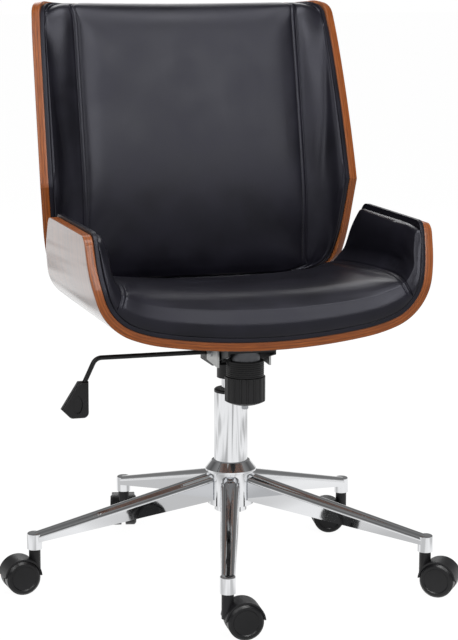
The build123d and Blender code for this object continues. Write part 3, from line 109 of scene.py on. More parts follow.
def ramp(tree: bpy.types.NodeTree, factor: bpy.types.NodeSocket,
         stops: list[tuple[float, tuple]]) -> bpy.types.NodeSocket:
    """Map a factor through colour stops.

    Args:
        tree: Node tree of the material.
        factor: Socket that drives the ramp.
        stops: Positions with linear colours, in order.

    Returns:
        The ramp's colour socket.
    """
    node = add_node(tree, "ShaderNodeValToRGB", {"Fac": factor})
    elements = node.color_ramp.elements
    while len(elements) < len(stops):
        elements.new(1.0)
    for element, (position, colour) in zip(elements, stops):
        element.position = position
        element.color = colour
    return node.outputs["Color"]


def grey(value: float) -> tuple[float, float, float, float]:
    """A grey for ramps that drive roughness or light."""
    return (value, value, value, 1.0)


def scaled_coordinates(tree: bpy.types.NodeTree, kind: str,
                       sizes_mm: tuple[float, float, float]) -> bpy.types.NodeSocket:
    """Coordinates divided by real pattern sizes.

    Args:
        tree: Node tree of the material.
        kind: "Object" or "UV"; both are in metres here.
        sizes_mm: Size of one pattern cell along each axis.

    Returns:
        A vector socket that grows by one per cell.
    """
    source = add_node(tree, "ShaderNodeTexCoord")
    scale = tuple(1 / (size * MM) for size in sizes_mm)
    mapping = add_node(tree, "ShaderNodeMapping", {"Vector": source.outputs[kind], "Scale": scale})
    return mapping.outputs["Vector"]


class Recipe:
    """A material in the making: its node tree, its shader and the steps that the finishes share."""

    def __init__(self, name: str, **sockets) -> None:
        """Start with a principled shader and constant sockets set.

        Args:
            name: Name of the finish.
            sockets: Values by socket name, with underscores for spaces.
        """
        self.material = bpy.data.materials.new(name)
        self.material.use_nodes = True
        self.tree = self.material.node_tree
        self.shader = self.tree.nodes["Principled BSDF"]
        for key, value in sockets.items():
            self.shader.inputs[key.replace("_", " ")].default_value = value

    def noise(self, kind: str, sizes_mm: tuple[float, float, float], **inputs) -> bpy.types.NodeSocket:
        """Noise in cells of real sizes.

        Args:
            kind: "Object" or "UV" coordinates.
            sizes_mm: Size of one cell along each axis.
            inputs: Further sockets of the noise, such as its detail.

        Returns:
            The noise as a factor.
        """
        place = scaled_coordinates(self.tree, kind, sizes_mm)
        return add_node(self.tree, "ShaderNodeTexNoise", {"Vector": place, "Scale": 1.0, **inputs}).outputs["Fac"]

    def mixed(self, share: float, first: bpy.types.NodeSocket, second: bpy.types.NodeSocket) -> bpy.types.NodeSocket:
        """Mix two factors, with a share of the second."""
        return add_node(self.tree, "ShaderNodeMix", {"Factor": share, "A": first, "B": second}).outputs["Result"]

    def colour(self, factor: bpy.types.NodeSocket, *stops: tuple[float, str]) -> None:
        """Colour the surface by a factor, through positions with hex colours."""
        shades = ramp(self.tree, factor, [(position, linear(code)) for position, code in stops])
        self.tree.links.new(shades, self.shader.inputs["Base Color"])

    def roughness(self, factor: bpy.types.NodeSocket, limits: tuple[float, float]) -> None:
        """Let the gloss wander between two roughnesses."""
        low, high = limits
        rough = ramp(self.tree, factor, [(0.3, grey(low)), (0.7, grey(high))])
        self.tree.links.new(rough, self.shader.inputs["Roughness"])

    def emboss(self, height: bpy.types.NodeSocket, strength: float, depth_mm: float) -> None:
        """Press a fine relief into the surface."""
        bump = add_node(self.tree, "ShaderNodeBump", {
            "Height": height, "Strength": strength, "Distance": depth_mm * MM})
        self.tree.links.new(bump.outputs["Normal"], self.shader.inputs["Normal"])


@dataclass(frozen=True)
class WalnutVeneer:
    """Sliced walnut veneer under gloss lacquer: streaked brown figure, fine pores, a clear wet coat."""

    name: str = "lacquered_walnut_veneer"
    dark: str = "#4f2a12"
    middle: str = "#7d4520"
    light: str = "#9c5d30"
    figure_mm: float = 16.0
    pore_mm: float = 1.1     # real pores are finer; drawn this coarse so that they show
    stretch: float = 22.0
    pore_stretch: float = 52.8
    flat_mm: float = 100.0   # across the plane of the veneer, where nothing varies

    def build(self) -> bpy.types.Material:
        """Build the material; the veneer's grain runs along V."""
        recipe = Recipe(self.name, Roughness=0.34, Coat_Weight=1.0, Coat_Roughness=0.07, Coat_IOR=1.6)
        figure = recipe.noise("UV", (self.figure_mm, self.figure_mm * self.stretch, self.flat_mm),
                              Detail=5.0, Distortion=0.9)
        pores = recipe.noise("UV", (self.pore_mm, self.pore_mm * self.pore_stretch, self.flat_mm), Detail=3.0)
        streaked = recipe.mixed(0.32, figure, pores)
        recipe.colour(streaked, (0.30, self.dark), (0.50, self.middle), (0.70, self.light))
        recipe.emboss(pores, 0.12, 0.15)
        return recipe.material


@dataclass(frozen=True)
class PlyEdge:
    """Sawn, stained and lacquered plywood edge: thin plies in turn lighter and darker, streaked along the edge."""

    name: str = "stained_plywood_edge"
    dark: str = "#582a0c"
    middle: str = "#793d12"
    light: str = "#95531f"
    ply_mm: float = 2.1
    streak_mm: float = 5.0
    run_mm: float = 400.0    # along the edge, where the plies hardly vary
    flat_mm: float = 100.0
    wave_scale: float = 0.314   # one wave in a cell: Blender's waves turn 20 radians in each

    def build(self) -> bpy.types.Material:
        """Build the material; U runs along the edge and V across the plies."""
        recipe = Recipe(self.name, Roughness=0.5, Specular_IOR_Level=0.3, Coat_Weight=0.2, Coat_Roughness=0.15)
        layers = scaled_coordinates(recipe.tree, "UV", (self.run_mm, 2 * self.ply_mm, self.flat_mm))
        plies = add_node(recipe.tree, "ShaderNodeTexWave", {
            "Vector": layers, "Scale": self.wave_scale, "Distortion": 0.4, "Detail": 2.0}, bands_direction="Y")
        bands = plies.outputs["Fac"]
        streaks = recipe.noise("UV", (6 * self.streak_mm, self.streak_mm / 4, self.flat_mm), Detail=4.0)
        streaked = recipe.mixed(0.82, bands, streaks)
        recipe.colour(streaked, (0.25, self.dark), (0.5, self.middle), (0.78, self.light))
        recipe.emboss(bands, 0.2, 0.1)
        return recipe.material


@dataclass(frozen=True)
class LeatherCloth:
    """Coated leather cloth: black, pebbled by embossing, with a soft broad sheen."""

    name: str = "black_coated_leather_cloth"
    colour: str = "#0b0a10"
    worn: str = "#15141c"
    sheen: str = "#eaebf8"
    pebble_mm: float = 1.5   # real pebbles are about 0.8; drawn this coarse so that they show
    patch_mm: float = 60.0
    roughness: tuple[float, float] = (0.33, 0.44)
    emboss: float = 0.35

    def build(self) -> bpy.types.Material:
        """Build the material on object coordinates."""
        recipe = Recipe(self.name, Specular_IOR_Level=0.31, Specular_Tint=linear(self.sheen))
        pebble = (self.pebble_mm,) * 3
        cells = add_node(recipe.tree, "ShaderNodeTexVoronoi", {
            "Vector": scaled_coordinates(recipe.tree, "Object", pebble), "Scale": 1.0})
        creases = recipe.noise("Object", pebble, Scale=0.45, Detail=3.0)
        height = add_node(recipe.tree, "ShaderNodeMath", {
            0: cells.outputs["Distance"], 1: creases}, operation="SUBTRACT")
        mottle = recipe.noise("Object", (self.patch_mm,) * 3, Detail=4.0)
        recipe.colour(mottle, (0.35, self.colour), (0.75, self.worn))
        recipe.roughness(mottle, self.roughness)
        recipe.emboss(height.outputs["Value"], self.emboss, 0.12)
        return recipe.material


@dataclass(frozen=True)
class Metal:
    """Bare or plated metal: colour, gloss and a faint unevenness left by polishing or rolling."""

    name: str
    colour: str
    roughness: tuple[float, float]
    grain_mm: tuple[float, float, float]
    emboss: float = 0.0

    def build(self) -> bpy.types.Material:
        """Build the material on object coordinates."""
        recipe = Recipe(self.name, Metallic=1.0, Base_Color=linear(self.colour))
        grain = recipe.noise("Object", self.grain_mm, Detail=4.0)
        recipe.roughness(grain, self.roughness)
        if self.emboss:
            recipe.emboss(grain, self.emboss, 0.05)
        return recipe.material


@dataclass(frozen=True)
class Moulding:
    """Moulded or powder-coated black: a fine even texture, its tone and gloss varying in broad patches."""

    name: str
    colour: str
    scuffed: str
    roughness: tuple[float, float]
    texture_mm: float
    emboss: float
    patch_mm: float = 25.0

    def build(self) -> bpy.types.Material:
        """Build the material on object coordinates."""
        recipe = Recipe(self.name, Specular_IOR_Level=0.38)
        grit = recipe.noise("Object", (self.texture_mm,) * 3, Detail=2.0)
        patch = recipe.noise("Object", (self.patch_mm,) * 3, Detail=4.0)
        recipe.colour(patch, (0.4, self.colour), (0.75, self.scuffed))
        recipe.roughness(patch, self.roughness)
        recipe.emboss(grit, self.emboss, 0.06)
        return recipe.material


CHROME = Metal("bright_chrome_plating", "#e9eaec", (0.03, 0.06), (40.0, 40.0, 40.0))
BRIGHT = Metal("turned_bright_steel", "#a9abae", (0.22, 0.34), (0.6, 0.6, 12.0), 0.1)
ZINC = Metal("zinc_plated_sheet", "#b4b5b4", (0.30, 0.44), (9.0, 9.0, 9.0), 0.1)
SPRING = Metal("oiled_spring_wire", "#5b5c5f", (0.30, 0.45), (3.0, 3.0, 3.0), 0.1)
COATED = Moulding("black_powder_coat", "#0b0b0d", "#131315", (0.36, 0.46), 0.8, 0.25)
PLASTIC = Moulding("black_moulded_nylon", "#0c0c0e", "#151517", (0.36, 0.48), 0.7, 0.3)
WHEEL = Moulding("black_wheel_nylon", "#0a0a0c", "#121214", (0.28, 0.40), 1.0, 0.2)
THREAD = Moulding("black_polyester_thread", "#131418", "#1d1e23", (0.5, 0.6), 0.5, 0.3)
LINER = LeatherCloth("black_liner_cloth", roughness=(0.40, 0.52), emboss=0.25)


def rounded_path(points: list[tuple[float, float]], radii: list[float], steps: int = 10) -> np.ndarray:
    """Round the inner corners of a polyline with arcs.

    Args:
        points: Corners in order.
        radii: One radius for each inner corner; zero keeps it sharp.
        steps: Points on each arc.

    Returns:
        Points of the rounded line.
    """
    out = [np.array(points[0], float)]
    for before, corner, after, radius in zip(points, points[1:], points[2:], radii):
        corner = np.array(corner, float)
        if radius == 0:
            out.append(corner)
            continue
        back = np.array(before, float) - corner
        ahead = np.array(after, float) - corner
        back /= np.linalg.norm(back)
        ahead /= np.linalg.norm(ahead)
        half = math.acos(np.clip(back @ ahead, -1, 1)) / 2
        centre = corner + (back + ahead) / np.linalg.norm(back + ahead) * radius / math.sin(half)
        start = corner + back * radius / math.tan(half) - centre
        end = corner + ahead * radius / math.tan(half) - centre
        sweep = math.acos(np.clip(start @ end / radius ** 2, -1, 1))
        for step in range(steps + 1):
            share = step / steps
            weight = (math.sin((1 - share) * sweep) * start + math.sin(share * sweep) * end) / math.sin(sweep)
            out.append(centre + weight)
    out.append(np.array(points[-1], float))
    return np.array(out)


@dataclass(frozen=True)
class Bend:
    """Half of a bent sheet's section: tangent arcs from the middle outwards, then a straight."""

    arcs: tuple[tuple[float, float], ...]   # radius in mm, degrees turned

    def at(self, length: np.ndarray, depth: float) -> tuple[np.ndarray, np.ndarray, np.ndarray]:
        """Points and headings along the section.

        Args:
            length: Distances along the outer face from the middle, in mm.
            depth: Distance in from the outer face.

        Returns:
            Across, inward and heading angle for each distance.
        """
        length = np.asarray(length, float)
        across = np.zeros_like(length)
        inward = np.zeros_like(length)
        heading = np.zeros_like(length)
        x, y, angle, done = 0.0, 0.0, 0.0, 0.0
        for radius, degrees in self.arcs:
            turn = math.radians(degrees)
            here = length >= done
            part = np.minimum((length - done) / radius, turn)[here] + angle
            across[here] = x + radius * (np.sin(part) - math.sin(angle))
            inward[here] = y + radius * (math.cos(angle) - np.cos(part))
            heading[here] = part
            x += radius * (math.sin(angle + turn) - math.sin(angle))
            y += radius * (math.cos(angle) - math.cos(angle + turn))
            angle += turn
            done += radius * turn
        past = length > done
        across[past] = x + (length[past] - done) * math.cos(angle)
        inward[past] = y + (length[past] - done) * math.sin(angle)
        heading[past] = angle
        return across - depth * np.sin(heading), inward + depth * np.cos(heading), heading


def mesh_object(name: str, mesh: bpy.types.Mesh) -> bpy.types.Object:
    """Link a mesh into the scene as a piece at the origin."""
    piece = bpy.data.objects.new(name, mesh)
    bpy.context.scene.collection.objects.link(piece)
    return piece


def smooth(piece: bpy.types.Object, degrees: float = 40.0) -> None:
    """Shade a mesh smooth, but for edges sharper than an angle."""
    mesh = piece.data
    mesh.polygons.foreach_set("use_smooth", [True] * len(mesh.polygons))
    mesh.set_sharp_from_angle(angle=math.radians(degrees))


def apply_modifiers(piece: bpy.types.Object) -> None:
    """Turn a piece's modifiers into plain mesh."""
    bpy.context.view_layer.update()
    evaluated = piece.evaluated_get(bpy.context.evaluated_depsgraph_get())
    mesh = bpy.data.meshes.new_from_object(evaluated)
    piece.modifiers.clear()
    piece.data = mesh


def edge_places(rows: int, columns: int) -> list[tuple[int, int]]:
    """Places round the edge of a grid, in order, each once."""
    places = [(i, 0) for i in range(rows)] + [(rows - 1, j) for j in range(1, columns)]
    places += [(i, columns - 1) for i in range(rows - 2, -1, -1)]
    return places + [(0, j) for j in range(columns - 2, 0, -1)]


@dataclass
class SheetGrid:
    """Two faces of a bent sheet on one grid, with what the veneer needs to lie along it."""

    outer: np.ndarray          # rows, columns, xyz in metres
    inner: np.ndarray
    across: np.ndarray         # distance across the grain, in metres
    along: np.ndarray          # distance along the grain, in metres
    sawn_angle: float = 55.0   # edges sharper than this are rounded
    smooth_angle: float = 33.0

    def build(self, name: str, materials: list[bpy.types.Material], bevel_mm: float) -> bpy.types.Object:
        """Make a closed sheet with rounded edges.

        Args:
            name: Name of the piece.
            materials: Face finish and edge finish.
            bevel_mm: Rounding of the sawn edges.

        Returns:
            The finished piece.
        """
        rows, columns, _ = self.outer.shape
        mesh = bmesh.new()
        uv = mesh.loops.layers.uv.new("grain")
        sides = []
        for points in (self.outer, self.inner):
            sides.append([[mesh.verts.new(points[i, j]) for j in range(columns)] for i in range(rows)])
        outer, inner = sides

        def quad(corners: list, coordinates: list, finish: int) -> None:
            """Add one face with its veneer coordinates."""
            face = mesh.faces.new(corners)
            face.material_index = finish
            for loop, coordinate in zip(face.loops, coordinates):
                loop[uv].uv = coordinate

        for i in range(rows - 1):
            for j in range(columns - 1):
                ring = [(i, j), (i + 1, j), (i + 1, j + 1), (i, j + 1)]
                flat = [(self.across[a, b], self.along[a, b]) for a, b in ring]
                quad([outer[a][b] for a, b in ring], flat, 0)
                quad([inner[a][b] for a, b in reversed(ring)], flat[::-1], 0)
        border = edge_places(rows, columns)
        reach = 0.0
        for (a, b), (c, d) in zip(border, border[1:] + border[:1]):
            step = float(np.linalg.norm(self.outer[c, d] - self.outer[a, b]))
            wall = float(np.linalg.norm(self.outer[a, b] - self.inner[a, b]))
            corners = [outer[a][b], inner[a][b], inner[c][d], outer[c][d]]
            quad(corners, [(reach, 0), (reach, wall), (reach + step, wall), (reach + step, 0)], 1)
            reach += step
        bmesh.ops.recalc_face_normals(mesh, faces=mesh.faces)
        data = bpy.data.meshes.new(name)
        mesh.to_mesh(data)
        mesh.free()
        piece = mesh_object(name, data)
        for material in materials:
            data.materials.append(material)
        bevel = piece.modifiers.new("sawn_edge", "BEVEL")
        bevel.width = bevel_mm * MM
        bevel.segments = 3
        bevel.limit_method = "ANGLE"
        bevel.angle_limit = math.radians(self.sawn_angle)
        apply_modifiers(piece)
        smooth(piece, self.smooth_angle)
        return piece


LENGTHS = np.linspace(0, 600, 6001)   # mm along a section at which it is sampled for look-ups


def spread(low: float, high: float, count: int, crowd: float) -> np.ndarray:
    """Values from low to high, crowded at the high end within a distance.

    Args:
        low: First value.
        high: Last value.
        count: How many values before the crowded stretch.
        crowd: Length of the crowded stretch.

    Returns:
        The values in order.
    """
    even = np.linspace(low, high - crowd, count)
    dense = high - crowd * (1 - np.sin(np.linspace(0, math.pi / 2, 9)[1:]))
    return np.concatenate([even, dense])


@dataclass
class SeatForm:
    """Shape of the bent seat: a wide U whose sides rise into the arms. Millimetres."""

    bend: Bend = Bend(((900, 9.6), (230, 11.4), (84, 53), (250, 13.5)))
    base: float = 373.0
    front: float = 172.0
    rear: float = 195.0
    arm_top: float = 540.0
    front_break: float = 460.0
    front_top: float = 146.0
    rear_top: float = 84.0
    rear_mid: float = 132.0
    rear_mid_height: float = 467.0
    rear_height: float = 395.0
    front_round: float = 20.0
    rear_round: float = 26.0
    heel_round: float = 22.0
    knee_round: float = 60.0
    below: float = 60.0          # the outlines start this far under the sheet
    rows: int = 70               # of one half, before the crowded rows at the arm's top
    crowded: float = 24.0
    columns: int = 41

    def limits(self, height: np.ndarray, front: float, rear: float, lean: float, arm_rear: float, margin: float,
               top: float) -> tuple[np.ndarray, np.ndarray]:
        """Front and rear edge at each height.

        Args:
            height: Heights over the floor.
            front: Front edge of the low part, ahead of the column.
            rear: Rear edge of the low part, behind the column.
            lean: Front edge of the arm at its top.
            arm_rear: Rear end of the arm at its top.
            margin: Growth of the arm's rear edge at its waist.
            top: Height of the arm.

        Returns:
            Front and rear Y at each height.
        """
        ahead = rounded_path(
            [(-front, self.base - self.below), (-front, self.front_break), (-lean, top), (0, top)],
            [self.knee_round, self.front_round])
        behind = rounded_path(
            [(rear, self.base - self.below), (rear, self.rear_height), (self.rear_mid + margin, self.rear_mid_height),
             (arm_rear, top), (0, top)],
            [self.heel_round, 0, self.rear_round])
        return np.interp(height, ahead[:-1, 1], ahead[:-1, 0]), np.interp(height, behind[:-1, 1], behind[:-1, 0])

    def top_length(self, top: float, depth: float) -> float:
        """Distance along the section at which it reaches a height."""
        _, rise, _ = self.bend.at(LENGTHS, depth)
        return float(np.interp(top - self.base, rise, LENGTHS))

    def face(self, lengths: np.ndarray, depth: float, limits: tuple[np.ndarray, np.ndarray],
             shares: np.ndarray) -> np.ndarray:
        """Grid of one face of the sheet.

        Args:
            lengths: Signed distances along the section.
            depth: Distance in from the outer face.
            limits: Front and rear Y for each distance.
            shares: Places from front to rear, from zero to one.

        Returns:
            Points in metres, by row and share.
        """
        across, rise, _ = self.bend.at(np.abs(lengths), depth)
        front, rear = limits
        y = front[:, None] + (rear - front)[:, None] * shares[None, :]
        x = np.repeat((np.sign(lengths) * across)[:, None], len(shares), 1)
        z = np.repeat((self.base + rise)[:, None], len(shares), 1)
        return np.stack([x, y, z], 2) * MM

    def sheet(self, outer_depth: float, inner_depth: float, inset: float, proud: float) -> SheetGrid:
        """Grid of a sheet between two depths, its edges moved in by an inset and its arms up by what stands proud."""
        top = self.arm_top + proud
        half = spread(0, self.top_length(top, outer_depth), self.rows, self.crowded)
        lengths = np.concatenate([-half[:0:-1], half])
        _, rise, _ = self.bend.at(np.abs(lengths), outer_depth)
        limits = self.limits(self.base + rise, self.front + inset, self.rear - inset, self.front_top + inset,
                             self.rear_top - inset, -inset, top)
        shares = np.linspace(0, 1, self.columns)
        outer = self.face(lengths, outer_depth, limits, shares)
        inner = self.face(lengths, inner_depth, limits, shares)
        across = outer[:, :, 1]
        along = np.repeat(lengths[:, None] * MM, len(shares), 1)
        return SheetGrid(outer, inner, across, along)


@dataclass
class BackForm:
    """Shape of the bent back: a shallow plan with wings, leaning back. Millimetres and degrees."""

    bend: Bend = Bend(((1235, 8.6), (75, 68.4)))
    lean: float = 12.7
    foot_y: float = 213.6
    foot_z: float = 405.0
    height: float = 445.0
    kink_depth: float = 97.3
    kink_height: float = 152.0
    mid_depth: float = 81.5
    mid_height: float = 298.0
    top_depth: float = 55.0
    wing_foot_depth: float = 42.0
    wing_foot_height: float = 28.0
    top_round: float = 24.0
    half_width: float = 256.0
    foot_round: float = 95.0
    corner_round: float = 28.0
    below: float = 100.0         # the wing's outline starts this far under the foot
    columns: int = 101
    rows_over: int = 36          # over and under the kink, before the crowded rows
    rows_under: int = 20
    crowded: tuple[float, float, float] = (28.0, 4.0, 30.0)   # at the top, under the kink and at the foot

    def place(self, across: np.ndarray, depth: np.ndarray, height: np.ndarray) -> np.ndarray:
        """Points in metres from places across, ahead of the back face and up its slope."""
        lean = math.radians(self.lean)
        y = self.foot_y - depth * math.cos(lean) + height * math.sin(lean)
        z = self.foot_z + depth * math.sin(lean) + height * math.cos(lean)
        return np.stack(np.broadcast_arrays(across, y, z), -1) * MM

    def wing_edge(self, height: np.ndarray, margin: float, top: float) -> np.ndarray:
        """Depth of the wing's front edge at heights up the slope."""
        a = np.array([self.kink_depth, self.kink_height])
        b = np.array([self.mid_depth, self.mid_height])
        c = np.array([self.top_depth, self.height])
        t = np.linspace(0, 1, 40)[:, None]
        share = (self.mid_height - self.kink_height) / (self.height - self.kink_height)
        control = (b - (1 - share) ** 2 * a - share ** 2 * c) / (2 * share * (1 - share))
        curve = (1 - t) ** 2 * a + 2 * t * (1 - t) * control + t ** 2 * c
        low = np.array([[self.wing_foot_depth, -self.below], [self.wing_foot_depth, self.wing_foot_height]])
        edge = np.interp(height, np.append(low[:, 1], curve[:, 1]), np.append(low[:, 0], curve[:, 0])) + margin
        drop = np.clip(self.top_round - (top - height), 0, self.top_round)
        return edge - (self.top_round - np.sqrt(self.top_round ** 2 - drop ** 2))

    def width_at(self, height: np.ndarray, half: float, foot: float, top: float, foot_round: float) -> np.ndarray:
        """Half width of the rounded front outline at heights up the slope."""
        low = np.clip(foot_round - (height - foot), 0, foot_round)
        high = np.clip(self.corner_round - (top - height), 0, self.corner_round)
        low_cut = foot_round - np.sqrt(foot_round ** 2 - low ** 2)
        high_cut = self.corner_round - np.sqrt(self.corner_round ** 2 - high ** 2)
        return half - low_cut - high_cut

    def reach(self, heights: np.ndarray, depth: float, margin: float, half: float, foot: float, top: float,
              foot_round: float) -> np.ndarray:
        """Distance along the section at which each height's row ends."""
        across, inward, _ = self.bend.at(LENGTHS, depth)
        by_depth = np.interp(self.wing_edge(heights, margin, top), inward, LENGTHS)
        by_width = np.interp(self.width_at(heights, half, foot, top, foot_round), across, LENGTHS)
        return np.minimum(by_depth, by_width)

    def rows(self, foot: float, top: float) -> np.ndarray:
        """Heights of the grid's rows, crowded at both ends and set on the wing's kink."""
        top_end, kink_end, foot_end = self.crowded
        upper = spread(self.kink_height, top, self.rows_over, top_end)
        lower = spread(foot, self.kink_height, self.rows_under, kink_end)
        start = foot + foot_end * (1 - np.cos(np.linspace(0, math.pi / 2, 9)[:-1]))
        return np.unique(np.concatenate([start, lower[lower > foot + foot_end], upper]))

    def sheet(self, outer_depth: float, inner_depth: float, inset: float) -> SheetGrid:
        """Grid of a sheet between two depths, its edges moved in by an inset."""
        heights = self.rows(inset, self.height - inset)
        ends = self.reach(heights, outer_depth, inset, self.half_width - outer_depth, inset, self.height - inset,
                          self.foot_round)
        shares = np.linspace(-1, 1, self.columns)
        lengths = ends[:, None] * shares[None, :]
        faces = []
        for depth in (outer_depth, inner_depth):
            across, inward, _ = self.bend.at(np.abs(lengths), depth)
            faces.append(self.place(np.sign(lengths) * across, inward, heights[:, None]))
        along = np.repeat(heights[:, None] * MM, len(shares), 1)
        return SheetGrid(faces[0], faces[1], lengths * MM, along)


PLY = 12.5
LAYER_GAP = 0.3
LINER_WALL = 6.0
LINER_DEPTH = PLY + LAYER_GAP
PAD_DEPTH = LINER_DEPTH + LINER_WALL + LAYER_GAP


def dress(piece: bpy.types.Object, body: str, slot: Slot, *nodes: str) -> bpy.types.Object:
    """Let a piece ride on a body and stand for CAD nodes."""
    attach(piece, body)
    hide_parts(*nodes)
    LOG.info("%s stands for %s on %s", piece.name, ", ".join(nodes), body)
    return piece


@dataclass
class Shells:
    """The two veneered shells and the wrapped liner boards on them."""

    seat: SeatForm
    back: BackForm
    edge_mm: float = 1.3
    liner_edge_mm: float = 2.4
    liner_inset: float = 1.5
    liner_proud: float = 4.8

    def build(self) -> None:
        """Build both shells and both liners."""
        veneered = [WalnutVeneer().build(), PlyEdge().build()]
        wrapped = [LINER.build()] * 2
        board = (LINER_DEPTH, LINER_DEPTH + LINER_WALL, self.liner_inset)
        pieces = (
            ("seat_shell", "veneered", self.seat.sheet(0, PLY, 0, 0), veneered, self.edge_mm, Slot.WALNUT),
            ("back_shell", "veneered", self.back.sheet(0, PLY, 0), veneered, self.edge_mm, Slot.WALNUT),
            ("seat_liner", "wrapped", self.seat.sheet(*board, self.liner_proud), wrapped, self.liner_edge_mm,
             Slot.LINER),
            ("back_liner", "wrapped", self.back.sheet(*board), wrapped, self.liner_edge_mm, Slot.LINER),
        )
        for node, made, sheet, finishes, edge_mm, slot in pieces:
            dress(sheet.build(f"{node}_{made}", finishes, edge_mm), "seat", slot, node)


def ease(values: np.ndarray, low: float, high: float) -> np.ndarray:
    """Smooth step from zero at low to one at high."""
    share = np.clip((values - low) / (high - low), 0, 1)
    return share * share * (3 - 2 * share)


def softened(places: np.ndarray, knots: np.ndarray, values: np.ndarray, width: float) -> np.ndarray:
    """Interpolate between knots and smooth the kinks away.

    Args:
        places: Where the values are wanted, in mm.
        knots: Places of the given values, in order.
        values: The given values.
        width: Half width of the smoothing, in mm.

    Returns:
        The smoothed values.
    """
    window = np.hanning(41)[1:-1]
    offsets = np.linspace(-width, width, len(window))
    samples = np.interp(places[:, None] + offsets[None, :], knots, values)
    return samples @ window / window.sum()


def rounded_drop(distance: np.ndarray, reach: np.ndarray) -> np.ndarray:
    """Share of an edge's rounding at a distance from it: one at the edge, zero past its reach."""
    return np.clip(1 - distance / reach, 0, 1)


def blend(ends: tuple[float, float], share: np.ndarray) -> np.ndarray:
    """Value between two ends at a share of the way."""
    return ends[0] + (ends[1] - ends[0]) * share


def mirrored(values: np.ndarray, axis: int, sign: float = 1.0) -> np.ndarray:
    """Both sides of a pad from one half, whose first row or column is the middle.

    Args:
        values: Values of the half.
        axis: Axis that runs across the pad.
        sign: What the other side's values are multiplied by.

    Returns:
        Values from the far edge of one side to that of the other.
    """
    other = np.flip(np.delete(values, 0, axis), axis)
    return np.concatenate([sign * other, values], axis)


@dataclass(frozen=True)
class Seam:
    """Sewn seam: a sharp fold in a soft hollow, with a topstitched line beside it. Millimetres."""

    fold: tuple[float, float] = (2.0, 1.2)      # depth and half width
    hollow: tuple[float, float] = (1.5, 9.0)
    stitched: tuple[float, float] = (0.7, 1.3)
    beside: float = 6.5                         # of the stitches, on the side of the pad's middle
    same: float = 0.1                           # a grid line this near to the stitches carries them

    def groove(self, distance: np.ndarray) -> np.ndarray:
        """Depth of the seam at distances from its fold."""
        lines = ((self.fold, 0.0), (self.hollow, 0.0), (self.stitched, self.beside))
        return sum(depth * np.exp(-((distance + offset) / width) ** 2) for (depth, width), offset in lines)

    def stitch_lines(self, distance: np.ndarray) -> np.ndarray:
        """Numbers of the grid lines that lie under the stitches."""
        return np.flatnonzero(np.abs(distance + self.beside) < self.same)


SEAM = Seam()
CLOTH = {
    "quality": 5, "mass": 0.4, "tension_stiffness": 20, "compression_stiffness": 20, "shear_stiffness": 8,
    "bending_stiffness": 2.0, "use_pressure": True, "uniform_pressure_force": 4.0, "vertex_group_mass": "held",
}


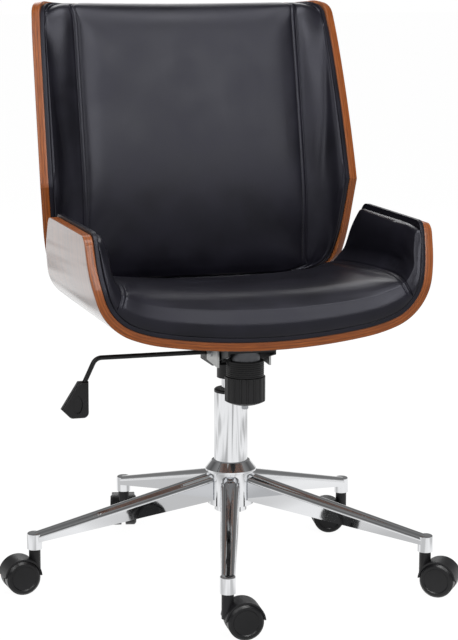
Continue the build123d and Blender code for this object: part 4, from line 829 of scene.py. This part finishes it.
@dataclass
class PadGrid:
    """Face and back of a pad on one grid, in metres, with its shaping."""

    face: np.ndarray
    back: np.ndarray
    drop: np.ndarray           # share of the way to the back that the face falls at its edges
    groove: np.ndarray         # how far seams draw it in, in mm
    puff_mm: float             # how far the cover may swell
    wall_steps: int = 6
    wall_bulge_mm: float = 1.6
    relax_rounds: int = 12
    relax_share: float = 0.5
    held_mm: float = 2.4       # a groove this deep holds the cover fully
    cloth_frames: int = 20
    sewn: np.ndarray | None = None   # the finished face, once built

    def normals(self, points: np.ndarray) -> np.ndarray:
        """Unit normals of the face, away from the back."""
        normal = np.cross(np.gradient(points, axis=0), np.gradient(points, axis=1))
        normal /= np.linalg.norm(normal, axis=2, keepdims=True)
        inward = np.sum(normal * (points - self.back), 2) < 0
        normal[inward] *= -1
        return normal

    def relaxed(self, points: np.ndarray) -> np.ndarray:
        """Even out folds where roundings meet, as stretched cloth would, without sliding points along the face."""
        for _ in range(self.relax_rounds):
            mean = points.copy()
            mean[1:-1, 1:-1] = (points[2:, 1:-1] + points[:-2, 1:-1] + points[1:-1, 2:] + points[1:-1, :-2]) / 4
            for edge in (0, -1):
                mean[1:-1, edge] = (points[2:, edge] + points[:-2, edge]) / 2
                mean[edge, 1:-1] = (points[edge, 2:] + points[edge, :-2]) / 2
            normal = self.normals(points)
            points = points + normal * (self.relax_share * np.sum((mean - points) * normal, 2))[:, :, None]
        return points

    def build(self, name: str, material: bpy.types.Material) -> bpy.types.Object:
        """Make the pad: swell its cover by simulation, then sew it in and round it.

        Args:
            name: Name of the piece.
            material: The cover's finish.

        Returns:
            The finished pad.
        """
        shaped = self.relaxed(self.face + (self.back - self.face) * self.drop[:, :, None])
        swell = self.swell(shaped)
        normal = self.normals(shaped)
        shaped = shaped + normal * (swell - self.groove * MM)[:, :, None]
        piece = mesh_object(name, self.closed(name, shaped))
        piece.data.materials.append(material)
        rounding = piece.modifiers.new("cover", "SUBSURF")
        rounding.levels = rounding.render_levels = 1
        apply_modifiers(piece)
        smooth(piece, 180)
        LOG.info("%s swelled by up to %.1f mm", name, float(swell.max()) / MM)
        self.sewn = shaped
        return piece

    def closed(self, name: str, shaped: np.ndarray) -> bpy.types.Mesh:
        """Join face and back by a bulging wall into one closed mesh."""
        rows, columns, _ = shaped.shape
        count = rows * columns
        points = np.concatenate([shaped.reshape(-1, 3), self.back.reshape(-1, 3)])
        faces = []
        for i in range(rows - 1):
            for j in range(columns - 1):
                a = i * columns + j
                faces.append((a, a + columns, a + columns + 1, a + 1))
                faces.append((count + a, count + a + 1, count + a + columns + 1, count + a + columns))
        border = edge_places(rows, columns)
        top = np.array([shaped[place] for place in border])
        low = np.array([self.back[place] for place in border])
        tangent = np.roll(top, -1, 0) - np.roll(top, 1, 0)
        outward = np.cross(tangent, top - low)
        outward /= np.maximum(np.linalg.norm(outward, axis=1, keepdims=True), 1e-9)
        middle = shaped[rows // 2, columns // 2]
        outward *= np.sign(np.sum(outward * (top - middle), 1, keepdims=True))
        loops = [[i * columns + j for i, j in border]]
        walls = []
        for step in range(1, self.wall_steps):
            share = step / self.wall_steps
            bulge = self.wall_bulge_mm * MM * math.sin(math.pi * share)
            loops.append([2 * count + len(walls) * len(border) + k for k in range(len(border))])
            walls.append(top + (low - top) * share + outward * bulge)
        loops.append([count + i * columns + j for i, j in border])
        for upper, lower in zip(loops, loops[1:]):
            for k in range(len(border)):
                after = (k + 1) % len(border)
                faces.append((upper[k], lower[k], lower[after], upper[after]))
        mesh = bpy.data.meshes.new(name)
        mesh.from_pydata(np.concatenate([points, *walls]).tolist(), [], faces)
        tidy = bmesh.new()
        tidy.from_mesh(mesh)
        bmesh.ops.recalc_face_normals(tidy, faces=tidy.faces)
        tidy.to_mesh(mesh)
        tidy.free()
        return mesh

    def swell(self, shaped: np.ndarray) -> np.ndarray:
        """Swell the cover with Blender's cloth under pressure, held along its edges and seams.

        Args:
            shaped: The pad's face before it swells.

        Returns:
            How far each place of the face moved out, in metres, within the pad's limit.
        """
        rows, columns, _ = shaped.shape
        count = rows * columns
        trial = mesh_object("cloth_trial", self.closed("cloth_trial", shaped))
        weights = np.clip(self.groove / self.held_mm, 0, 1)
        weights[0, :] = weights[-1, :] = weights[:, 0] = weights[:, -1] = 1
        held = trial.vertex_groups.new(name="held")
        for index, weight in enumerate(weights.ravel()):
            held.add([index], float(weight), "REPLACE")
        held.add(list(range(count, len(trial.data.vertices))), 1.0, "REPLACE")
        cloth = trial.modifiers.new("cloth", "CLOTH")
        for setting, value in CLOTH.items():
            setattr(cloth.settings, setting, value)
        cloth.settings.effector_weights.gravity = 0
        cloth.collision_settings.use_collision = False
        cloth.point_cache.frame_end = self.cloth_frames
        scene = bpy.context.scene
        for step in range(1, self.cloth_frames + 1):
            scene.frame_set(step)
        evaluated = trial.evaluated_get(bpy.context.evaluated_depsgraph_get())
        moved = np.empty(len(evaluated.data.vertices) * 3)
        evaluated.data.vertices.foreach_get("co", moved)
        moved = moved.reshape(-1, 3)[:count].reshape(rows, columns, 3)
        bpy.data.objects.remove(trial)
        scene.frame_set(1)
        out = np.sum((moved - shaped) * self.normals(shaped), 2)
        limit = self.puff_mm * MM
        return limit * np.tanh(np.clip(out, -limit / 3, None) / limit)


@dataclass
class SeatPad:
    """Seat cushion: crowned across and along, rolled over the front, sewn below each arm. Millimetres."""

    form: SeatForm
    bend: Bend = Bend(((1300, 6.6), (175, 18), (31, 52)))
    seam: float = 204.7
    bend_end: float = 232.8
    tip: tuple[float, float] = (224.0, 162.0)
    arm_crown: float = 3.0
    cap: tuple[float, float] = (5.8, 4.0)      # half thickness of the arm pad, and rise of its rounded top
    front: float = 186.0
    rear: float = 146.0
    proud: float = 12.0          # the arm pad's front edge ahead of the plywood's
    arm_rear: float = 70.0
    back_end: float = 349.0
    heights: tuple = ((1.0, 77.0), (0.83, 76.5), (0.3, 73.0), (0.0, 69.5), (-0.45, 62.0), (-0.8, 53.0))
    fit_power: int = 3           # of the curve through these shares of the front and heights
    mean_crown: float = 68.0     # crown at which the edges are read off by height
    over_arm: float = 2.5        # the pad's top over the plywood's
    waist: float = 5.0           # growth of the arm's rear edge at its waist
    arm_length: float = 40.0
    tuck: float = 2.0            # the underside's edges, in from the shell's or the face's
    rear_tuck: float = 4.0
    waist_tuck: float = 3.0
    front_roll: tuple[float, float] = (72.0, 44.0)   # reach of the rounding on the seat, and on the arm
    rear_roll: tuple[float, float] = (26.0, 14.0)
    front_fall: tuple[float, float] = (0.66, 0.76)   # share of the pad's thickness that the rounding takes
    rear_fall: tuple[float, float] = (0.4, 0.7)
    arm_blend: float = 10.0      # before the seam, where the seat starts to turn into the arm
    seam_room: tuple[float, float] = (28.0, 20.0)    # between the seam and the plain rows
    puff: float = 4.0
    stitched: tuple[int, int] = (3, -6)   # first and last of the columns that carry stitches
    seam_rows: tuple = (-22, -15, -10, -8.2, -7.3, -6.5, -5.7, -4.8, -3.4, -2, -1, 0, 1, 2, 3.4, 5, 8, 13)

    def section(self) -> tuple[np.ndarray, np.ndarray]:
        """Distances along the bent part of the section, and shares along its straight arm."""
        inner = np.linspace(0, self.seam - self.seam_room[0], 32)
        sewn = self.seam + np.array(self.seam_rows)
        outer = np.linspace(self.seam + self.seam_room[1], self.bend_end, 3)
        return np.concatenate([inner, sewn, outer]), np.linspace(0, 1, 9)[1:]

    def build(self, name: str, material: bpy.types.Material) -> tuple[bpy.types.Object, list[np.ndarray]]:
        """Build the cushion.

        Args:
            name: Name of the piece.
            material: The cover's finish.

        Returns:
            The cushion, and the paths of its topstitches in metres.
        """
        lengths, shares = self.section()
        across, rise, _ = self.bend.at(lengths, 0)
        turns = np.linspace(0, math.pi, 11)[1:]
        half = np.concatenate([lengths, self.bend_end + shares * self.arm_length])
        half = np.concatenate([half, half[-1] + turns * self.cap[0]])
        level = rise + self.mean_crown
        arm_level = np.linspace(level[-1], self.tip[1], len(shares) + 1)[1:]
        level = np.concatenate([level, arm_level, np.full(len(turns), self.tip[1])])
        lean = self.form.front_top
        top = self.form.arm_top + self.over_arm
        front, rear = self.form.limits(self.form.base + level, self.front, self.rear, lean + self.proud,
                                       self.arm_rear, self.waist, top)
        along = np.concatenate([-np.cos(np.linspace(0, math.pi / 2, 14)) * 0.5 + 0.5,
                                0.5 + np.sin(np.linspace(0, math.pi / 2, 14)[1:]) * 0.5])
        along = np.unique(np.concatenate([along, np.linspace(0, 1, 30)]))
        y = front[:, None] + (rear - front)[:, None] * along[None, :]
        fit = np.polyfit(*np.array(self.heights).T, self.fit_power)
        crown = np.polyval(fit, -y / self.front)
        x = np.empty_like(y)
        z = np.empty_like(y)
        bent = len(lengths)
        x[:bent] = across[:, None]
        z[:bent] = rise[:, None] + crown[:bent]
        foot_x, foot_z = across[-1], rise[-1] + crown[bent:]
        bow = self.arm_crown * np.sin(np.pi * shares)[:, None]
        cap = bent + len(shares)
        x[bent:cap] = foot_x + (self.tip[0] - foot_x) * shares[:, None] - bow
        z[bent:cap] = foot_z[:len(shares)] + (self.tip[1] - foot_z[:len(shares)]) * shares[:, None]
        x[cap:] = self.tip[0] + self.cap[0] * (1 - np.cos(turns))[:, None]
        z[cap:] = self.tip[1] + self.cap[1] * np.sin(turns)[:, None]
        back_lengths = half / half[-1] * self.back_end
        back_x, back_z, _ = self.form.bend.at(back_lengths, PAD_DEPTH)
        back_front, back_rear = self.form.limits(
            self.form.base + back_z, self.form.front + self.tuck, self.rear - self.rear_tuck, lean + self.tuck,
            self.arm_rear - self.tuck, -self.waist_tuck, top)
        back_y = back_front[:, None] + (back_rear - back_front)[:, None] * along[None, :]
        arm = ease(half, self.seam - self.arm_blend, self.bend_end)[:, None]
        ahead = rounded_drop(y - front[:, None], blend(self.front_roll, arm))
        behind = rounded_drop(rear[:, None] - y, blend(self.rear_roll, arm))
        edge = np.sqrt(np.clip(ahead ** 2 + behind ** 2, 0, 1))
        fall = np.where(ahead > 0, blend(self.front_fall, arm), blend(self.rear_fall, arm))
        drop = fall * (1 - np.sqrt(1 - edge ** 2))
        distance = half - self.seam
        groove = np.repeat(SEAM.groove(distance)[:, None], y.shape[1], 1)

        def placed(x: np.ndarray, y: np.ndarray, z: np.ndarray) -> np.ndarray:
            """Points of both sides in metres, from one side's places over the shell's underside."""
            x, y, z = np.broadcast_arrays(x, y, z)
            return np.stack([mirrored(x, 0, -1), mirrored(y, 0), mirrored(z, 0) + self.form.base], 2) * MM

        grid = PadGrid(placed(x, y, z), placed(back_x[:, None], back_y, back_z[:, None]), mirrored(drop, 0),
                       mirrored(groove, 0), self.puff)
        piece = grid.build(name, material)
        return piece, [grid.sewn[row, slice(*self.stitched)] for row in SEAM.stitch_lines(mirrored(distance, 0))]


@dataclass
class BackPad:
    """Back cushion: wide flat middle between two seams, wings that follow the shell. Millimetres."""

    form: BackForm
    bend: Bend = Bend(((2700, 3.8),))
    seam: float = 179.0
    foot: float = 16.0
    top: float = 441.0
    half_width: float = 238.0
    face_width: float = 220.0
    corner: float = 66.0
    proud: float = 3.0
    depths: tuple = (            # height, and how far the face stands ahead of the shell's rear face
        (0, 36), (16, 36), (40, 41), (70, 47), (110, 58), (150, 61), (200, 62), (330, 61), (410, 60), (445, 59))
    depth_blend: float = 40.0    # half width of the smoothing of depths, and of the wing's edge
    edge_blend: float = 26.0
    edge_step: float = 14.0      # the wing's edge lies at most this far behind the middle
    seam_room: float = 8.0       # least distance of the seam from the edge
    plain_room: float = 20.0     # between the seam and the plain columns
    top_rows: float = 28.0       # crowded rows at both ends
    foot_rows: float = 30.0
    side_roll: float = 14.0      # reach of the rounding at each edge
    top_roll: float = 28.0
    foot_roll: float = 18.0
    fall: float = 0.5            # share of the pad's thickness that the rounding takes
    puff: float = 4.0
    stitched: tuple[int, int] = (6, -5)   # first and last of the rows that carry stitches
    seam_columns: tuple = (-14, -10, -8.2, -7.3, -6.5, -5.7, -4.8, -3.4, -2, -1, 0)
    wing_shares: tuple = (0.012, 0.03, 0.06, 0.1, 0.16, 0.23, 0.31, 0.4, 0.5, 0.6, 0.7, 0.79, 0.87, 0.93, 0.97, 1)

    def build(self, name: str, material: bpy.types.Material) -> tuple[bpy.types.Object, list[np.ndarray]]:
        """Build the cushion.

        Args:
            name: Name of the piece.
            material: The cover's finish.

        Returns:
            The cushion, and the paths of its topstitches in metres.
        """
        quarter = np.linspace(0, math.pi / 2, 9)
        low, high = self.foot + self.foot_rows, self.top - self.top_rows
        heights = np.concatenate([self.foot + self.foot_rows * (1 - np.cos(quarter[:-1])), np.linspace(low, high, 48),
                                  self.top - self.top_rows * (1 - np.sin(quarter[1:]))])
        stations = np.array(self.depths)
        depth = softened(heights, stations[:, 0], stations[:, 1], self.depth_blend)
        back_end = self.form.reach(heights, PAD_DEPTH, self.proud, self.half_width, self.foot, self.top, self.corner)
        fine = np.linspace(0, self.top, 300)
        unrounded = 2 * self.top     # a top so high that its rounding stays out of reach
        edge = softened(heights, fine, self.form.wing_edge(fine, self.proud, unrounded), self.edge_blend)
        square, rounded = (self.form.wing_edge(heights, self.proud, top) for top in (unrounded, self.top))
        edge = np.maximum(edge - (square - rounded), depth - self.edge_step)
        width = self.form.width_at(heights, self.face_width, self.foot, self.top, self.corner)
        seam = np.minimum(self.seam, width - self.seam_room)[:, None]
        inner = np.linspace(0, 1, 24)[None, :-1] * (seam - self.plain_room)
        inner = np.concatenate([inner, seam + np.array(self.seam_columns)[None, :]], 1)
        across, inward, heading = self.bend.at(inner, 0)
        inward = inward + depth[:, None]
        start = np.stack([across[:, -1:], inward[:, -1:]], 2)
        end = np.stack([width, edge], 1)[:, None, :]
        knee = np.stack([end[:, :, 0], start[:, :, 1] + np.tan(heading[:, -1:]) * (end - start)[:, :, 0]], 2)
        share = np.array(self.wing_shares)[None, :, None]
        wing = (1 - share) ** 2 * start + 2 * share * (1 - share) * knee + share ** 2 * end
        steps = np.linalg.norm(np.diff(np.concatenate([start, wing], 1), axis=1), axis=2)
        half = np.concatenate([inner, inner[:, -1:] + np.cumsum(steps, 1)], 1)
        across = np.concatenate([across, wing[:, :, 0]], 1)
        inward = np.concatenate([inward, wing[:, :, 1]], 1)
        back_lengths = half / half[:, -1:] * back_end[:, None]
        back_x, back_d, _ = self.form.bend.at(back_lengths, PAD_DEPTH)
        side = rounded_drop(half[:, -1:] - half, self.side_roll)
        upper = rounded_drop(self.top - heights, self.top_roll)[:, None]
        lower = rounded_drop(heights - self.foot, self.foot_roll)[:, None]
        corner = np.sqrt(np.clip(side ** 2 + upper ** 2 + lower ** 2, 0, 1))
        drop = self.fall * (1 - np.sqrt(1 - corner ** 2))
        distance = half - seam
        face, under = (self.form.place(mirrored(x, 1, -1), mirrored(d, 1), heights[:, None])
                       for x, d in ((across, inward), (back_x, back_d)))
        grid = PadGrid(face, under, mirrored(drop, 1), mirrored(SEAM.groove(distance), 1), self.puff)
        piece = grid.build(name, material)
        columns = SEAM.stitch_lines(mirrored(distance, 1)[0])
        return piece, [grid.sewn[slice(*self.stitched), column] for column in columns]


@dataclass(frozen=True)
class Stitching:
    """Rows of lock stitches laid along paths by Geometry Nodes. Millimetres."""

    pitch: float = 5.0
    length: float = 3.6
    radius: float = 0.5

    def tree(self, thread: bpy.types.Material) -> bpy.types.GeometryNodeTree:
        """Node tree that turns polylines into stitches, with named sizes."""
        tree = bpy.data.node_groups.new("stitch_rows", "GeometryNodeTree")
        tree.interface.new_socket("Geometry", in_out="INPUT", socket_type="NodeSocketGeometry")
        for name in ("Pitch", "Length", "Radius"):
            tree.interface.new_socket(name, in_out="INPUT", socket_type="NodeSocketFloat")
        tree.interface.new_socket("Geometry", in_out="OUTPUT", socket_type="NodeSocketGeometry")
        given = add_node(tree, "NodeGroupInput").outputs
        curve = add_node(tree, "GeometryNodeMeshToCurve", {"Mesh": given["Geometry"]})
        spaced = add_node(tree, "GeometryNodeCurveToPoints", {
            "Curve": curve.outputs["Curve"], "Length": given["Pitch"]}, mode="LENGTH")
        size = add_node(tree, "ShaderNodeCombineXYZ", {
            "X": given["Radius"], "Y": given["Radius"], "Z": given["Length"]})
        half = add_node(tree, "ShaderNodeVectorMath", {0: size.outputs["Vector"], 1: (1, 1, 0.5)}, operation="MULTIPLY")
        bead = add_node(tree, "GeometryNodeMeshUVSphere", {"Segments": 6, "Rings": 5, "Radius": 1.0})
        placed = add_node(tree, "GeometryNodeInstanceOnPoints", {
            "Points": spaced.outputs["Points"], "Instance": bead.outputs["Mesh"],
            "Rotation": spaced.outputs["Rotation"], "Scale": half.outputs["Vector"]})
        real = add_node(tree, "GeometryNodeRealizeInstances", {"Geometry": placed.outputs["Instances"]})
        dyed = add_node(tree, "GeometryNodeSetMaterial", {
            "Geometry": real.outputs["Geometry"], "Material": thread})
        add_node(tree, "NodeGroupOutput", {"Geometry": dyed.outputs["Geometry"]})
        return tree

    def build(self, name: str, paths: list[np.ndarray], thread: bpy.types.Material) -> bpy.types.Object:
        """Lay stitches along paths.

        Args:
            name: Name of the piece.
            paths: Points along each row, in metres.
            thread: The thread's finish.

        Returns:
            The stitches as one plain mesh.
        """
        mesh = bpy.data.meshes.new(name)
        edges = []
        start = 0
        for path in paths:
            edges += [(start + k, start + k + 1) for k in range(len(path) - 1)]
            start += len(path)
        mesh.from_pydata(np.concatenate(paths).tolist(), edges, [])
        piece = mesh_object(name, mesh)
        sewing = piece.modifiers.new("stitches", "NODES")
        sewing.node_group = self.tree(thread)
        for item in sewing.node_group.interface.items_tree:
            if item.in_out == "INPUT" and item.name != "Geometry":
                sewing[item.identifier] = getattr(self, item.name.lower()) * MM
        apply_modifiers(piece)
        smooth(piece, 180)
        return piece


@dataclass
class Cushions:
    """The two sewn cushions with their topstitching."""

    seat: SeatForm
    back: BackForm
    fill: float = 0.85
    sewing: Stitching = Stitching()

    def build(self) -> None:
        """Build both cushions and sew them."""
        leather = LeatherCloth().build()
        thread = THREAD.build()
        for node, pad in (("seat_cushion", SeatPad(self.seat)), ("back_cushion", BackPad(self.back))):
            piece, paths = pad.build(f"{node}_sewn", leather)
            dress(piece, "seat", Slot.PAD, node)
            self.sew(f"{node}_stitches", paths, thread)

    def sew(self, name: str, paths: list[np.ndarray], thread: bpy.types.Material) -> None:
        """Lay topstitches that ride with the seat."""
        piece = self.sewing.build(name, paths, thread)
        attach(piece, "seat")
        LOG.info("%s laid along %d rows", name, len(paths))


@dataclass
class PhotoCamera:
    """Camera at the photograph's place: fitted view of a picture 458 by 640 pixels."""

    azimuth: float = -17.04
    elevation: float = 10.05
    roll: float = 0.17
    distance: float = 3.0272
    target: tuple[float, float, float] = (-0.00296, 0.00091, 0.3874)
    focal_px: float = 2047.7
    long_side_px: int = 640
    sensor_mm: float = 36.0

    def build(self) -> None:
        """Create the camera and make it the scene's own."""
        azimuth, elevation, roll = (math.radians(v) for v in (self.azimuth, self.elevation, self.roll))
        back = Vector((math.sin(azimuth) * math.cos(elevation), -math.cos(azimuth) * math.cos(elevation),
                       math.sin(elevation)))
        level = Vector((math.cos(azimuth), math.sin(azimuth), 0))
        upright = back.cross(level)
        right = level * math.cos(roll) + upright * math.sin(roll)
        up = upright * math.cos(roll) - level * math.sin(roll)
        data = bpy.data.cameras.new("photo_camera")
        data.sensor_width = self.sensor_mm
        data.lens = self.sensor_mm * self.focal_px / self.long_side_px
        camera = bpy.data.objects.new("photo_camera", data)
        bpy.context.scene.collection.objects.link(camera)
        turn = Matrix((right, up, back)).transposed().to_4x4()
        camera.matrix_world = Matrix.Translation(Vector(self.target) + back * self.distance) @ turn
        bpy.context.scene.camera = camera


@dataclass
class Studio:
    """Plain white studio: pale floor, even world light and four soft lamps."""

    world_strength: float = 0.42
    floor_size: float = 60.0
    floor_bounce: float = 0.22
    floor_glow: float = 1.34
    floor_share: float = 0.72
    patch_mm: tuple[float, float, float] = (420.0, 900.0, 400.0)
    # What metal shows of the floor, by its noise, and of the room, by height.
    patches: tuple = ((0.36, 0.5), (0.46, 0.95), (0.56, 1.0), (0.66, 0.62))
    room: tuple = ((0.0, 0.9), (0.06, 0.8), (0.16, 0.25), (0.5, 0.1), (0.7, 0.24), (1.0, 0.14))
    lamps: tuple = (             # name, place, size in metres and watts
        ("key_softbox", (-2.4, -2.3, 2.6), 1.8, 50.0),
        ("front_softbox", (0.35, -2.8, 2.2), 1.2, 50.0),
        ("top_softbox", (0.1, -1.0, 3.1), 1.4, 58.0),
        ("rim_softbox", (0.6, 2.9, 2.6), 2.0, 48.0),
    )
    aim: tuple[float, float, float] = (0.0, 0.05, 0.5)

    def build(self) -> None:
        """Create the world, the floor and the lamps."""
        scene = bpy.context.scene
        scene.view_settings.view_transform = "Standard"
        world = bpy.data.worlds.new("white_studio")
        scene.world = world
        world.use_nodes = True
        tree = world.node_tree
        tree.nodes.clear()
        path = add_node(tree, "ShaderNodeLightPath")
        place = add_node(tree, "ShaderNodeTexCoord")
        height = add_node(tree, "ShaderNodeSeparateXYZ", {"Vector": place.outputs["Generated"]})
        room = ramp(tree, height.outputs["Z"], [(position, grey(value)) for position, value in self.room])
        light = add_node(tree, "ShaderNodeBackground", {"Color": grey(1.0), "Strength": self.world_strength})
        mirrored = add_node(tree, "ShaderNodeBackground", {"Color": room, "Strength": 1.0})
        white = add_node(tree, "ShaderNodeBackground", {"Color": grey(1.0), "Strength": 1.0})
        soft = add_node(tree, "ShaderNodeMixShader", {
            0: path.outputs["Is Glossy Ray"], 1: light.outputs["Background"], 2: mirrored.outputs["Background"]})
        mix = add_node(tree, "ShaderNodeMixShader", {
            0: path.outputs["Is Camera Ray"], 1: soft.outputs["Shader"], 2: white.outputs["Background"]})
        add_node(tree, "ShaderNodeOutputWorld", {"Surface": mix.outputs["Shader"]})
        self.floor()
        plated = self.plated()
        for name, place, size, power in self.lamps:
            data = bpy.data.lights.new(name, "AREA")
            data.size = size
            data.energy = power
            lamp = bpy.data.objects.new(name, data)
            scene.collection.objects.link(lamp)
            lamp.location = place
            lamp.rotation_euler = (Vector(place) - Vector(self.aim)).to_track_quat("Z", "Y").to_euler()
            lamp.light_linking.receiver_collection = plated

    def plated(self) -> bpy.types.Collection:
        """Collect the chromed nodes that the lamps leave out, so that plating mirrors the room and not a lamp's streak.

        Returns:
            A receiver collection for light linking, with every chromed node excluded.
        """
        plated = bpy.data.collections.new("plated_nodes")
        for part in frame["record"]["subparts"]:
            if part["material_slot"] == Slot.CHROME.value:
                plated.objects.link(frame["nodes"][part["node"]])
        for entry in plated.collection_objects:
            entry.light_linking.link_state = "EXCLUDE"
        return plated

    def floor(self) -> None:
        """Lay a floor that keeps a soft shadow on a white ground and shows as broad light and grey patches in metal."""
        material = bpy.data.materials.new("pale_floor")
        material.use_nodes = True
        tree = material.node_tree
        tree.nodes.clear()
        diffuse = add_node(tree, "ShaderNodeBsdfDiffuse", {"Color": grey(self.floor_bounce)})
        glow = add_node(tree, "ShaderNodeEmission", {"Color": grey(1.0), "Strength": self.floor_glow})
        patch = add_node(tree, "ShaderNodeTexNoise", {
            "Vector": scaled_coordinates(tree, "Object", self.patch_mm), "Scale": 1.0, "Detail": 1.0})
        shade = ramp(tree, patch.outputs["Fac"], [(position, grey(value)) for position, value in self.patches])
        mirrored = add_node(tree, "ShaderNodeEmission", {"Color": shade, "Strength": 1.0})
        path = add_node(tree, "ShaderNodeLightPath")
        share = add_node(tree, "ShaderNodeMath", {
            0: path.outputs["Is Camera Ray"], 1: self.floor_share}, operation="MULTIPLY")
        seen = add_node(tree, "ShaderNodeMixShader", {
            0: share.outputs["Value"], 1: diffuse.outputs["BSDF"], 2: glow.outputs["Emission"]})
        mix = add_node(tree, "ShaderNodeMixShader", {
            0: path.outputs["Is Glossy Ray"], 1: seen.outputs["Shader"], 2: mirrored.outputs["Emission"]})
        add_node(tree, "ShaderNodeOutputMaterial", {"Surface": mix.outputs["Shader"]})
        half = self.floor_size / 2
        mesh = bpy.data.meshes.new("studio_floor")
        corners = [(-half, -half, 0), (half, -half, 0), (half, half, 0), (-half, half, 0)]
        mesh.from_pydata(corners, [], [(0, 1, 2, 3)])
        mesh.materials.append(material)
        mesh_object("studio_floor", mesh)


@dataclass
class Hardware:
    """Metal and moulded nodes that keep their CAD shape and get their real finish."""

    finishes: dict = field(default_factory=lambda: {
        Slot.CHROME: CHROME, Slot.BRIGHT: BRIGHT, Slot.ZINC: ZINC, Slot.SPRING: SPRING,
        Slot.COATED: COATED, Slot.PLASTIC: PLASTIC, Slot.WHEEL: WHEEL,
    })

    def dress(self) -> None:
        """Give every CAD node the finish of its slot."""
        built = {slot.value: finish.build() for slot, finish in self.finishes.items()}
        for part in frame["record"]["subparts"]:
            material = built.get(part["material_slot"])
            if material is None:
                continue
            mesh = frame["nodes"][part["node"]].data
            mesh.materials.clear()
            mesh.materials.append(material)
            LOG.info("%s finished as %s", part["node"], material.name)


def main() -> None:
    """Build the chair's pieces in order, then the camera and the studio."""
    logging.basicConfig(level=logging.INFO, format="%(message)s")
    seat, back = SeatForm(), BackForm()
    Hardware().dress()
    Shells(seat, back).build()
    Cushions(seat, back).build()
    PhotoCamera().build()
    Studio().build()


if __name__ == "__main__":
    main()
